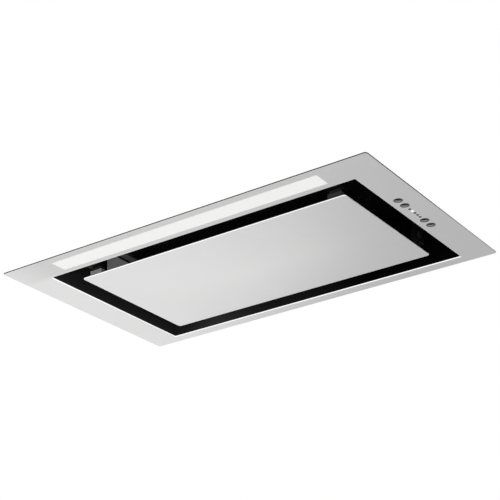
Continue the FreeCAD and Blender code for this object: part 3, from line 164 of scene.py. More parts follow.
class Axis(Enum):
    """The axis that a turned shape goes round."""

    X = 0
    Y = 1
    Z = 2

    def place(self, across: float, up: float, along: float) -> Vector:
        """Put a point given across, up and along this axis into the frame."""
        return Vector(((along, across, up), (up, along, across), (across, up, along))[self.value])


class Ease(Enum):
    """How wide the edges of a copied solid are eased, in millimetres."""

    HAIR = 0.15
    FINE = 0.2
    THIN = 0.25
    PLAIN = 0.3
    SOFT = 0.35
    ROUND = 0.4
    FULL = 0.5
    BROAD = 0.7
    HEAVY = 0.8


class Pattern(Enum):
    """How a finish varies over a surface."""

    GRAIN = "long brushed streaks"
    SPECKLE = "fine moulded or sprayed texture"
    SPANGLE = "zinc crystals"
    RINGS = "turned circles"
    LAYERS = "stacked sheets"
    TRACKS = "conductor tracks under lacquer"


@dataclass(frozen=True)
class PaintedLight:
    """Painted light and shade: a slow change of tone over a sheet that stands in for reflections and sheen.

    along_x and along_y give its strength at some places in millimetres, and share how much of the tone it
    adds at full strength.
    """

    share: float
    along_x: tuple[Point, ...] = ((0.0, 1.0), (1.0, 1.0))
    along_y: tuple[Point, ...] = ((0.0, 1.0), (1.0, 1.0))

    def factor(self, tree: NodeTree) -> NodeSocket:
        """By how much the tone is multiplied at each place.

        Args:
            tree: The material's node tree.

        Returns:
            The socket that carries the factor.
        """
        where = add_node(tree, "ShaderNodeTexCoord").outputs["Object"]
        parts = add_node(tree, "ShaderNodeSeparateXYZ", Vector=where)
        strengths = []
        for axis, stops in (("X", self.along_x), ("Y", self.along_y)):
            first, last = stops[0][0], stops[-1][0]
            reach = add_node(tree, "ShaderNodeMapRange", Value=parts.outputs[axis], From_Min=first * MM,
                             From_Max=last * MM)
            ramp = add_node(tree, "ShaderNodeValToRGB", Fac=reach.outputs["Result"])
            while len(ramp.color_ramp.elements) < len(stops):
                ramp.color_ramp.elements.new(1.0)
            for element, (place, strength) in zip(ramp.color_ramp.elements, stops):
                element.position = (place - first) / (last - first)
                element.color = (*grey(strength), 1.0)
            strengths.append(ramp.outputs["Color"])
        return number(tree, "MULTIPLY_ADD", number(tree, "MULTIPLY", *strengths), self.share, 1.0)


@dataclass(frozen=True)
class Finish:
    """One surface finish, made as a node material.

    tone and tint are the colours between which the pattern runs, grain the size of the pattern in
    millimetres, stretch its length along each axis, relief its depth in millimetres, middle the centre of
    turned circles and cloud the size of the handling marks. glow is light that the surface gives off
    itself: the lamp's own on the lens, light guides and chips, and a painted highlight on folded edges.
    shade is a painted light and shade that scales the tone by place.
    """

    name: str
    pattern: Pattern
    tone: Triple
    tint: Triple
    metallic: float = 0.0
    roughness: Point = (0.4, 0.5)
    grain: float = 1.0
    stretch: Triple = (1.0, 1.0, 1.0)
    relief: float = 0.02
    specular: float = 0.5
    coat: float = 0.0
    glow: float = 0.0
    middle: Triple = (0.0, 0.0, 0.0)
    cloud: float = 140.0
    shade: PaintedLight | None = None

    def material(self) -> Material:
        """Build the material, or find it if it was built before.

        Returns:
            The node material of this finish.
        """
        found = bpy.data.materials.get(self.name + "_look")
        if found:
            return found
        made = bpy.data.materials.new(self.name + "_look")
        made.use_nodes = True
        made.diffuse_color = (*self.tone, 1.0)
        tree = made.node_tree
        field = self.field(tree)
        colour = add_node(tree, "ShaderNodeMix", {"data_type": "RGBA"}, Factor=field, A=(*self.tone, 1.0),
                          B=(*self.tint, 1.0)).outputs["Result"]
        # Painted light and shade: the colour is scaled by place.
        if self.shade:
            colour = add_node(tree, "ShaderNodeVectorMath", {"operation": "SCALE"}, Vector=colour,
                              Scale=self.shade.factor(tree)).outputs["Vector"]
        bump = add_node(tree, "ShaderNodeBump", Height=field, Distance=self.relief * MM)
        feed(tree, tree.nodes["Principled BSDF"], Base_Color=colour, Metallic=self.metallic,
             Roughness=self.gloss(tree, field), Specular_IOR_Level=self.specular, Coat_Weight=self.coat,
             Emission_Color=(*self.tone, 1.0), Emission_Strength=self.glow, Normal=bump.outputs["Normal"])
        return made

    def coordinates(self, tree: NodeTree, size: float, stretch: Triple) -> NodeSocket:
        """Object coordinates counted in pattern sizes from the middle of the pattern.

        Args:
            tree: The material's node tree.
            size: The pattern size in millimetres.
            stretch: How much longer the pattern is along each axis.

        Returns:
            The socket that carries the coordinates.
        """
        where = add_node(tree, "ShaderNodeTexCoord").outputs["Object"]
        scale = [1 / (size * MM * share) for share in stretch]
        start = [-x * MM * s for x, s in zip(self.middle, scale)]
        mapping = add_node(tree, "ShaderNodeMapping", Vector=where, Location=start, Scale=scale)
        return mapping.outputs["Vector"]

    def field(self, tree: NodeTree) -> NodeSocket:
        """The pattern itself, from 0 to 1 over the surface.

        Args:
            tree: The material's node tree.

        Returns:
            The socket that carries the pattern.
        """
        where = self.coordinates(tree, self.grain, self.stretch)
        if self.pattern in (Pattern.RINGS, Pattern.LAYERS):
            kind = "RINGS" if self.pattern is Pattern.RINGS else "BANDS"
            settings = {"wave_type": kind, "rings_direction": "Z", "bands_direction": "X"}
            waves = add_node(tree, "ShaderNodeTexWave", settings, Vector=where, Scale=WAVE_SCALE,
                             Distortion=WAVE_DISTORTION)
            return waves.outputs["Fac"]
        if self.pattern in (Pattern.SPANGLE, Pattern.TRACKS):
            settings = {"distance": "MANHATTAN" if self.pattern is Pattern.TRACKS else "EUCLIDEAN"}
            cells = add_node(tree, "ShaderNodeTexVoronoi", settings, Vector=where, Scale=1.0)
            return cells.outputs["Color"]
        noise = add_node(tree, "ShaderNodeTexNoise", Vector=where, Scale=1.0, Detail=NOISE_DETAIL)
        return noise.outputs["Fac"]

    def gloss(self, tree: NodeTree, field: NodeSocket) -> NodeSocket:
        """Roughness that follows the pattern and a slow cloud of handling marks.

        Args:
            tree: The material's node tree.
            field: The pattern.

        Returns:
            The socket that carries the roughness.
        """
        where = self.coordinates(tree, self.cloud, (1.0, 1.0, 1.0))
        cloud = add_node(tree, "ShaderNodeTexNoise", Vector=where, Scale=1.0).outputs["Fac"]
        spread = add_node(tree, "ShaderNodeMapRange", Value=number(tree, "ADD", field, cloud),
                          From_Min=GLOSS_RANGE[0], From_Max=GLOSS_RANGE[1], To_Min=self.roughness[0],
                          To_Max=self.roughness[1])
        return spread.outputs["Result"]


BRUSHED_STEEL = Finish("brushed_stainless", Pattern.GRAIN, (0.825, 0.825, 0.822), (0.75, 0.75, 0.747),
                       metallic=1.0, roughness=(0.26, 0.36), grain=0.35, stretch=(90.0, 1.0, 1.0),
                       relief=0.004)
# The front bar of the frame is painted darker, most at the left and fading to the right: a painted
# reflection.
FRAME_PAINTED_REFLECTION = replace(BRUSHED_STEEL, name="frame_stainless", shade=PaintedLight(
    share=-0.185, along_y=((-118.0, 1.0), (-107.0, 0.0)),
    along_x=((-260.0, 0.2), (-205.0, 1.0), (-120.0, 1.0), (20.0, 0.65), (150.0, 0.4), (250.0, 0.05))))
# The panel is painted lighter round its middle: a painted sheen.
PANEL_PAINTED_SHEEN = replace(BRUSHED_STEEL, name="panel_stainless", shade=PaintedLight(
    share=0.1, along_y=((-86.0, 0.4), (20.0, 1.0), (114.0, 0.3)),
    along_x=((-191.0, 0.0), (-110.0, 0.5), (-20.0, 1.0), (90.0, 1.0), (191.0, 0.1))))
# Polished edges: smoother than the sheet, and painted lighter than it as a painted highlight.
BRIGHT_EDGE = Finish("polished_edge", Pattern.GRAIN, grey(0.97), grey(0.92), metallic=1.0,
                     roughness=(0.12, 0.2), grain=0.3, relief=0.001)
# The folded edges glow though they are no lamp: painted highlights, stronger on the left fold.
PAINTED_HIGHLIGHT_FOLD = replace(BRIGHT_EDGE, name="folded_edge", glow=0.2)
LEFT_PAINTED_HIGHLIGHT_FOLD = replace(BRIGHT_EDGE, name="lit_folded_edge", glow=0.42)
# The outer edge is painted nearly black as painted shade, and painted lighter towards the rear of the right
# edge as painted light.
PAINTED_SHADE_EDGE = Finish("cut_edge", Pattern.GRAIN, grey(0.05), grey(0.03), metallic=1.0, roughness=(0.3, 0.45),
                  grain=0.3, relief=0.002,
                  shade=PaintedLight(share=14.0, along_y=((-50.0, 0.0), (10.0, 0.4), (70.0, 0.9), (157.0, 1.0))))
# The walls of the button holes are steel painted darker than the sheet: painted shade in the holes.
HOLE_EDGE = replace(PAINTED_SHADE_EDGE, name="hole_edge", tone=grey(0.34), tint=grey(0.26), shade=None)
BUTTON_METAL = Finish("button_metal", Pattern.RINGS, grey(0.40), grey(0.31), metallic=1.0,
                      roughness=(0.3, 0.4), grain=0.6, relief=0.003)
OPAL_LENS = Finish("opal_lens", Pattern.SPECKLE, (0.88, 0.88, 0.87), (0.84, 0.84, 0.83),
                   roughness=(0.3, 0.42), grain=2.0, relief=0.003, glow=0.03)
LIT_GUIDE = Finish("lit_indicator", Pattern.SPECKLE, (0.95, 0.97, 1.0), grey(0.9),
                   roughness=(0.15, 0.25), grain=0.4, relief=0.002, glow=0.25)
DARK_GUIDE = Finish("dark_indicator", Pattern.SPECKLE, grey(0.006), grey(0.003), roughness=(0.4, 0.55),
                    grain=0.4, relief=0.002, specular=0.03)
FOAM = Finish("foam_seal", Pattern.SPECKLE, grey(0.045), grey(0.02), roughness=(0.8, 0.95), grain=0.7,
              relief=0.2)
BLACK_ENAMEL = Finish("black_enamel", Pattern.SPECKLE, grey(0.008), grey(0.005), roughness=(0.42, 0.58),
                      grain=0.6, specular=0.1)
# The tray walls are painted lighter at the left, lightest near x = -152 mm, and darker to the right: a
# painted sheen.
PAINTED_SHEEN_TRAY = replace(
    BLACK_ENAMEL, name="tray_enamel", tone=grey(0.055), tint=grey(0.045), specular=0.08, shade=PaintedLight(
        share=-0.97, along_x=((-219.0, 0.6), (-200.0, 0.6), (-152.0, 0.0), (-104.0, 0.44), (-72.0, 0.65),
                              (-8.0, 0.78), (56.0, 0.93), (90.0, 1.0), (219.0, 1.0))))
BLACKENED = Finish("blackened_steel", Pattern.SPECKLE, grey(0.020), grey(0.012), roughness=(0.4, 0.55),
                   grain=0.8, relief=0.01, specular=0.3)
MATT_ZINC = Finish("matt_zinc", Pattern.SPECKLE, (0.62, 0.62, 0.61), (0.52, 0.52, 0.51), metallic=0.25,
                   roughness=(0.45, 0.6), grain=1.2, relief=0.006)
# A darker copy of the matt zinc: painted shade for the right strike.
PAINTED_SHADE_ZINC = replace(MATT_ZINC, name="dark_zinc", tone=grey(0.10), tint=grey(0.07))
RAIL_ZINC = Finish("rail_zinc", Pattern.SPECKLE, (0.86, 0.86, 0.85), (0.76, 0.76, 0.75),
                   roughness=(0.5, 0.65), grain=1.2, relief=0.006)
DARK_MESH = Finish("dark_mesh", Pattern.SPECKLE, grey(0.006), grey(0.004), metallic=0.2,
                   roughness=(0.45, 0.6), grain=0.6, relief=0.01, specular=0.12)
GALVANISED = Finish("galvanised_sheet", Pattern.SPANGLE, (0.60, 0.62, 0.63), (0.44, 0.46, 0.47),
                    metallic=1.0, roughness=(0.34, 0.52), grain=9.0, relief=0.006)
TOP_SHEET = replace(GALVANISED, name="galvanised_top", middle=(37.0, 11.0, 5.0))
BOX_SHEET = replace(GALVANISED, name="galvanised_fan_box", middle=(-21.0, 33.0, 8.0))
ZINC = Finish("zinc_steel", Pattern.SPECKLE, (0.66, 0.66, 0.64), (0.54, 0.54, 0.51), metallic=1.0,
              roughness=(0.22, 0.36), grain=1.2, relief=0.004)
SPRING_STEEL = Finish("spring_steel", Pattern.GRAIN, (0.30, 0.31, 0.33), (0.22, 0.23, 0.26),
                      metallic=1.0, roughness=(0.25, 0.4), grain=0.5, stretch=(1.0, 30.0, 1.0),
                      relief=0.004)
BRONZE = Finish("bronze_bush", Pattern.SPECKLE, (0.55, 0.38, 0.16), (0.42, 0.28, 0.11), metallic=1.0,
                roughness=(0.35, 0.5), grain=0.5, relief=0.01)
FERRITE = Finish("ferrite", Pattern.SPECKLE, grey(0.025), grey(0.015), roughness=(0.5, 0.7), grain=0.8,
                 relief=0.03)
# The filter frame is painted darker towards the right: painted shade.
PAINTED_SHADE_FILTER = Finish("filter_aluminium", Pattern.GRAIN, grey(0.42), grey(0.33), metallic=1.0,
                          roughness=(0.34, 0.48), grain=0.5, stretch=(60.0, 1.0, 1.0), relief=0.006,
                          shade=PaintedLight(share=-0.9, along_x=((-150.0, 0.0), (100.0, 1.0))))
BLACK_PLASTIC = Finish("black_plastic", Pattern.SPECKLE, grey(0.028), grey(0.020),
                       roughness=(0.42, 0.56), grain=0.5, relief=0.012)
SWITCH_PLASTIC = replace(BLACK_PLASTIC, name="switch_plastic", tone=grey(0.09))
SCROLL_PLASTIC = replace(BLACK_PLASTIC, name="scroll_plastic", tone=grey(0.05), tint=grey(0.035))
FLAP_PLASTIC = replace(BLACK_PLASTIC, name="flap_plastic", tone=grey(0.06), tint=grey(0.045))
GREY_PLASTIC = Finish("grey_plastic", Pattern.SPECKLE, (0.31, 0.32, 0.33), (0.26, 0.27, 0.28),
                      roughness=(0.42, 0.55), grain=0.6, relief=0.012)
GLAND_PLASTIC = replace(GREY_PLASTIC, name="gland_plastic", tone=grey(0.06), tint=grey(0.045))
CIRCUIT_BOARD = Finish("circuit_board", Pattern.TRACKS, (0.03, 0.16, 0.07), (0.07, 0.28, 0.13),
                       roughness=(0.3, 0.42), grain=3.0, coat=0.3)
SMALL_ELECTRICS = Finish("small_electrics", Pattern.SPECKLE, (0.78, 0.74, 0.52), (0.7, 0.66, 0.44),
                         roughness=(0.35, 0.5), grain=0.6)
LIGHT_PATCH = replace(SMALL_ELECTRICS, name="light_patch", tone=(0.9, 0.8, 0.35), glow=0.4)
MOTOR_CAN = Finish("motor_can_steel", Pattern.GRAIN, (0.42, 0.43, 0.44), (0.34, 0.35, 0.36),
                   metallic=1.0, roughness=(0.32, 0.46), grain=0.6, relief=0.006)
LAMINATIONS = Finish("laminations", Pattern.LAYERS, (0.30, 0.29, 0.28), (0.16, 0.15, 0.15), metallic=1.0,
                     roughness=(0.4, 0.6), grain=0.5, relief=0.05)
CAPACITOR_CAN = Finish("capacitor_can", Pattern.SPECKLE, (0.78, 0.78, 0.76), (0.72, 0.72, 0.70),
                       roughness=(0.35, 0.48), relief=0.01)


def metres(profile: Iterable[Point]) -> list[Point]:
    """A profile that is given in millimetres."""
    return [(radius * MM, along * MM) for radius, along in profile]


def sideways(width: float) -> Vector:
    """The same width along x and y, given in millimetres."""
    return Vector((width * MM, width * MM, 0.0))


def rounded_rectangle(low: Sequence[float], high: Sequence[float], radius: float) -> list[Point]:
    """The outline of a rectangle with round corners, anticlockwise.

    Args:
        low: Lowest corner.
        high: Highest corner.
        radius: Corner radius in millimetres.

    Returns:
        The points of the outline.
    """
    points = []
    radius *= MM
    centres = [(high[0] - radius, high[1] - radius), (low[0] + radius, high[1] - radius),
               (low[0] + radius, low[1] + radius), (high[0] - radius, low[1] + radius)]
    for quarter, (x, y) in enumerate(centres):
        for step in range(ROUND_STEPS + 1):
            angle = (quarter + step / ROUND_STEPS) * math.pi / 2
            points.append((x + radius * math.cos(angle), y + radius * math.sin(angle)))
    return points


def circle(centre: Sequence[float], radius: float, count: int = CIRCLE_STEPS) -> list[Point]:
    """Points round a circle, anticlockwise."""
    angles = (2 * math.pi * step / count for step in range(count))
    return [(centre[0] + radius * math.cos(a), centre[1] + radius * math.sin(a)) for a in angles]


def cross(reach: float, half: float) -> list[Point]:
    """The outline of a cross, anticlockwise.

    Args:
        reach: Length of its arms from the middle.
        half: Half their width.

    Returns:
        The points of the outline.
    """
    arm = [(reach, -half), (reach, half), (half, half)]
    turns = [(1, 0), (0, 1), (-1, 0), (0, -1)]
    return [(x * c - y * s, x * s + y * c) for c, s in turns for x, y in arm]


def eased(profile: Sequence[Point], radius: float, steps: int = 3) -> list[Point]:
    """Round the corners of a closed profile.

    Args:
        profile: The corners in order.
        radius: Rounding radius, cut down where a side is short.
        steps: Segments in each rounding.

    Returns:
        The rounded profile. Corners on the axis stay sharp.
    """
    points = []
    for index, here in enumerate(profile):
        before = Vector(profile[index - 1])
        after = Vector(profile[(index + 1) % len(profile)])
        corner = Vector(here)
        back, ahead = before - corner, after - corner
        reach = min(radius, back.length * SHORT_SIDE_SHARE, ahead.length * SHORT_SIDE_SHARE)
        if abs(here[0]) < TOUCH or reach < TOUCH:
            points.append(here)
            continue
        start, end = corner + back.normalized() * reach, corner + ahead.normalized() * reach
        for step in range(steps + 1):
            share = step / steps
            bend = start * (1 - share) ** 2 + corner * 2 * share * (1 - share) + end * share ** 2
            points.append((bend.x, bend.y))
    return points


def level_faces(bm: BMesh) -> None:
    """Merge doubled points and join faces that lie in one plane."""
    bmesh.ops.remove_doubles(bm, verts=bm.verts, dist=TOUCH)
    bmesh.ops.dissolve_limit(bm, angle_limit=FLAT_ANGLE, verts=bm.verts, edges=bm.edges)


def ease_edges(bm: BMesh, edges: Sequence[BMEdge], width: float, steps: int = EASE_STEPS,
               clamp: bool = True) -> None:
    """Round some edges by a width in millimetres, less where the shape is narrow unless clamp is off."""
    bmesh.ops.bevel(bm, geom=edges, offset=width * MM, segments=steps, profile=ROUND_PROFILE,
                    affect="EDGES", clamp_overlap=clamp)


def linked(item: Object) -> Object:
    """Put an object into the scene."""
    bpy.context.scene.collection.objects.link(item)
    return item


def evaluated_mesh(item: Object) -> Mesh:
    """Turn an object with modifiers or curve settings into a plain mesh.

    Args:
        item: The object, which is removed.

    Returns:
        The mesh.
    """
    mesh = bpy.data.meshes.new_from_object(item.evaluated_get(bpy.context.evaluated_depsgraph_get()))
    bpy.data.objects.remove(item)
    return mesh


def finished_mesh(name: str, bm: BMesh, merge: bool = True) -> Mesh:
    """Turn a closed bmesh into a mesh with outward faces, smooth except at sharp edges.

    Args:
        name: Name of the mesh.
        bm: The shape, which is freed.
        merge: Whether doubled points are merged first.

    Returns:
        The mesh.
    """
    if merge:
        level_faces(bm)
    bmesh.ops.recalc_face_normals(bm, faces=bm.faces)
    mesh = bpy.data.meshes.new(name)
    bm.to_mesh(mesh)
    bm.free()
    mesh.polygons.foreach_set("use_smooth", [True] * len(mesh.polygons))
    mesh.set_sharp_from_angle(angle=SHARP_ANGLE)
    carrier = linked(bpy.data.objects.new(name, mesh))
    level = carrier.modifiers.new("level", "WEIGHTED_NORMAL")
    level.keep_sharp = True
    level.weight = NORMAL_WEIGHT
    return evaluated_mesh(carrier)


def add_plate(bm: BMesh, loops: Sequence[Sequence[Point]], low: float, high: float, edge: float) -> None:
    """Add a flat plate with holes and eased edges. Its sizes are in metres.

    Args:
        bm: Where the plate is added.
        loops: The outline, then the holes, each anticlockwise.
        low: Height of the lower face.
        high: Height of the upper face.
        edge: Width of the eased edge.
    """
    curve = bpy.data.curves.new("plate", "CURVE")
    curve.dimensions = "2D"
    curve.fill_mode = "BOTH"
    curve.extrude = (high - low) / 2 - edge
    curve.bevel_depth = edge
    curve.bevel_resolution = 1
    curve.offset = -edge
    for index, loop in enumerate(loops):
        spline = curve.splines.new("POLY")
        points = list(loop) if index == 0 else list(reversed(loop))
        spline.points.add(len(points) - 1)
        spline.use_cyclic_u = True
        for target, (x, y) in zip(spline.points, points):
            target.co = (x, y, 0.0, 1.0)
    mesh = evaluated_mesh(linked(bpy.data.objects.new("plate", curve)))
    mesh.transform(Matrix.Translation((0.0, 0.0, (low + high) / 2)))
    bm.from_mesh(mesh)
    bpy.data.meshes.remove(mesh)
    bpy.data.curves.remove(curve)


def add_turned(bm: BMesh, profile: Sequence[Point], axis: Axis, centre: Sequence[float],
               steps: int = TURN_STEPS) -> None:
    """Add a closed shape turned about an axis.

    Args:
        bm: Where the shape is added.
        profile: Radius and distance along the axis of each corner. It closes on itself or on the axis.
        axis: Direction of the axis.
        centre: A point on the axis.
        steps: Segments round the axis.
    """
    middle = Vector(centre)
    rings = []
    for radius, along in profile:
        count = 1 if radius < TOUCH else steps
        angles = [2 * math.pi * step / steps for step in range(count)]
        rings.append([bm.verts.new(middle + axis.place(radius * math.cos(a), radius * math.sin(a), along))
                      for a in angles])
    for first, second in zip(rings, rings[1:] + rings[:1]):
        for step in range(steps):
            corners = [first[step % len(first)], first[(step + 1) % len(first)],
                       second[(step + 1) % len(second)], second[step % len(second)]]
            corners = list(dict.fromkeys(corners))
            if len(corners) > 2:
                bm.faces.new(corners)


def add_box(bm: BMesh, low: Sequence[float], high: Sequence[float], edge: float) -> None:
    """Add a box with eased edges.

    Args:
        bm: Where the box is added.
        low: Lowest corner.
        high: Highest corner.
        edge: Width of the eased edge in millimetres.
    """
    low, high = Vector(low), Vector(high)
    place = Matrix.Translation((low + high) / 2) @ Matrix.Diagonal((*(high - low), 1.0))
    made = bmesh.ops.create_cube(bm, size=1.0, matrix=place)
    ease_edges(bm, list({e for v in made["verts"] for e in v.link_edges}), edge)


def settle(name: str, shape: Mesh | BMesh, finish: Finish, node: str,
           stands_for: bool = True) -> Object:
    """Make a shape a piece of the hood: give it its finish and let it ride with a CAD node.

    Args:
        name: Name of the piece.
        shape: Its finished mesh, or a bmesh to finish first, in place.
        finish: Its finish.
        node: The CAD node whose body it takes.
        stands_for: Whether the piece replaces that node.

    Returns:
        The piece.
    """
    mesh = finished_mesh(name, shape) if isinstance(shape, BMesh) else shape
    piece = linked(bpy.data.objects.new(name, mesh))
    mesh.materials.clear()
    mesh.materials.append(finish.material())
    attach(piece, frame["nodes"][node]["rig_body"])
    if stands_for:
        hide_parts(node)
    log.info("%s: %d faces", name, len(mesh.polygons))
    return piece


def finish_edges(piece: Object, finish: Finish, low: Sequence[float], high: Sequence[float],
                 flattest: float = EDGE_FACES) -> None:
    """Give the edges of a flat plate within a box a finish of their own.

    Args:
        piece: The plate.
        finish: The finish of its edges.
        low: Lowest corner of the box in x and y.
        high: Highest corner.
        flattest: How far a face may point straight up or down.
    """
    mesh = piece.data
    mesh.materials.append(finish.material())
    for face in mesh.polygons:
        at = face.center
        if abs(face.normal.z) < flattest and low[0] < at.x < high[0] and low[1] < at.y < high[1]:
            face.material_index = len(mesh.materials) - 1


def merged_copy(node: str) -> BMesh:
    """Copy a CAD node's mesh and merge its doubled points.

    Args:
        node: The CAD node.

    Returns:
        The copy.
    """
    bm = bmesh.new()
    bm.from_mesh(frame["nodes"][node].data)
    bmesh.ops.remove_doubles(bm, verts=bm.verts, dist=TOUCH)
    return bm


def softened(node: str, finish: Finish, edge: Ease = Ease.PLAIN, shortest: float = 2.5) -> Object:
    """Replace a CAD node by a copy of it whose edges are eased.

    Args:
        node: The CAD node.
        finish: Its finish.
        edge: Width of the eased edge.
        shortest: Length in millimetres under which an edge stays sharp.

    Returns:
        The piece.
    """
    bm = merged_copy(node)
    bmesh.ops.dissolve_limit(bm, angle_limit=FLAT_ANGLE, verts=bm.verts, edges=bm.edges)
    sharp = [e for e in bm.edges
             if e.calc_face_angle(0.0) > SHARP_ANGLE and e.calc_length() > shortest * MM]
    ease_edges(bm, sharp, edge.value)
    return settle(node + "_finished", bm, finish, node)


def islands(node: str) -> list[list[Vector]]:
    """The separate solids of a CAD node.

    Args:
        node: The CAD node.

    Returns:
        The corner points of each solid.
    """
    bm = merged_copy(node)
    waiting = set(bm.verts)
    found = []
    while waiting:
        front = [waiting.pop()]
        group = []
        while front:
            vert = front.pop()
            group.append(vert.co.copy())
            for edge in vert.link_edges:
                other = edge.other_vert(vert)
                if other in waiting:
                    waiting.remove(other)
                    front.append(other)
        found.append(group)
    bm.free()
    return sorted(found, key=lambda points: tuple(round(v, PLACES) for v in min(points, key=tuple)))


def box_of(points: Iterable[Vector]) -> tuple[Vector, Vector]:
    """Lowest and highest corner of some points."""
    points = list(points)
    return (Vector([min(p[i] for p in points) for i in range(3)]),
            Vector([max(p[i] for p in points) for i in range(3)]))


def middle_of(node: str) -> Vector:
    """The middle of a CAD node's box."""
    low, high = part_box(node)
    return (low + high) / 2


class Tree:
    """A Geometry Nodes tree with named inputs, run once to give a plain mesh."""

    KINDS: ClassVar[dict[type, str]] = {int: "Int", float: "Float", tuple: "Vector",
                                        Material: "Material", Object: "Object"}

    def __init__(self, name: str) -> None:
        """Start an empty tree.

        Args:
            name: Name of the tree.
        """
        self.group = bpy.data.node_groups.new(name, "GeometryNodeTree")
        for way in ("OUTPUT", "INPUT"):
            self.group.interface.new_socket("Geometry", in_out=way, socket_type="NodeSocketGeometry")
        self.entry = self.group.nodes.new("NodeGroupInput")
        self.values: dict[str, object] = {}

    def size(self, name: str, value: object) -> NodeSocket:
        """Add a named input.

        Args:
            name: Its name.
            value: What it is set to. The kind of socket follows from it.

        Returns:
            The socket that carries it into the tree.
        """
        kind = next(kind for known, kind in self.KINDS.items() if isinstance(value, known))
        item = self.group.interface.new_socket(name, in_out="INPUT", socket_type="NodeSocket" + kind)
        self.values[item.identifier] = value
        return self.entry.outputs[name]

    def node(self, kind: str, settings: dict[str, object] | None = None, take: str = "",
             **wires: object) -> NodeSocket:
        """Add a node as add_node does, and give its output of the name to take, or its first one."""
        made = add_node(self.group, kind, settings, **wires)
        return next(socket for socket in made.outputs if socket.enabled and take in ("", socket.name))

    def vector(self, x: object = 0.0, y: object = 0.0, z: object = 0.0) -> NodeSocket:
        """A vector from three numbers."""
        return self.node("ShaderNodeCombineXYZ", X=x, Y=y, Z=z)

    def row(self, count: int, first: Triple, pitch: Triple) -> NodeSocket:
        """Points in a straight row."""
        return self.node("GeometryNodeMeshLine", Count=self.size("Count", count),
                         Start_Location=self.size("First", first), Offset=self.size("Pitch", pitch))

    def copies(self, points: NodeSocket, shape: NodeSocket,
               turn: object = (0.0, 0.0, 0.0)) -> NodeSocket:
        """A copy of a shape on each point, all with a turn."""
        return self.node("GeometryNodeInstanceOnPoints", Points=points, Instance=shape, Rotation=turn)

    def pegs(self, points: NodeSocket, sides: int, radius: float, length: float,
             turn: Triple = (0.0, 0.0, 0.0)) -> NodeSocket:
        """A round peg on each point, all with a turn. The sizes are in millimetres."""
        peg = self.node("GeometryNodeMeshCylinder", Vertices=self.size("Sides", sides),
                        Radius=self.size("Radius", radius * MM), Depth=self.size("Length", length * MM))
        return self.copies(points, peg, self.size("Turn", turn))

    def bar(self, path: NodeSocket, width: float, height: float) -> NodeSocket:
        """A closed bar of rectangular section along a path. The sizes are in millimetres."""
        section = self.node("GeometryNodeCurvePrimitiveQuadrilateral",
                            Width=self.size("Width", width * MM), Height=self.size("Height", height * MM))
        return self.node("GeometryNodeCurveToMesh", Curve=path, Profile_Curve=section, Fill_Caps=True)

    def placed(self, shape: NodeSocket, centre: Triple, turn: Triple) -> NodeSocket:
        """A shape turned and then moved to its place."""
        return self.node("GeometryNodeTransform", Geometry=shape, Translation=self.size("Centre", centre),
                         Rotation=self.size("Axis Turn", turn))

    def run(self, shape: NodeSocket, finish: Finish, base: Mesh | None = None) -> Mesh:
        """Close the tree, run it and clean up.

        Args:
            shape: The geometry to put out.
            finish: The finish set on it.
            base: The mesh that goes in, or none.

        Returns:
            The mesh that the tree makes.
        """
        real = self.node("GeometryNodeRealizeInstances", Geometry=shape)
        painted = self.node("GeometryNodeSetMaterial", Geometry=real,
                            Material=self.size("Material", finish.material()))
        add_node(self.group, "NodeGroupOutput", Geometry=painted)
        name = self.group.name
        carrier = linked(bpy.data.objects.new(name, base or bpy.data.meshes.new(name)))
        modifier = carrier.modifiers.new("shape", "NODES")
        modifier.node_group = self.group
        for identifier, value in self.values.items():
            modifier[identifier] = value
        mesh = evaluated_mesh(carrier)
        bm = bmesh.new()
        bm.from_mesh(mesh)
        bpy.data.meshes.remove(mesh)
        return finished_mesh(name, bm, merge=False)


class Head(Enum):
    """The kind of head on a fastener."""

    CROSS = "pan head with a cross recess"
    DOME = "closed dome"


@dataclass(frozen=True)
class Seat:
    """Where a fastener sits, the way its head points, and its sizes in metres."""

    at: Vector
    way: Vector
    head: float
    height: float
    shank: float
    length: float


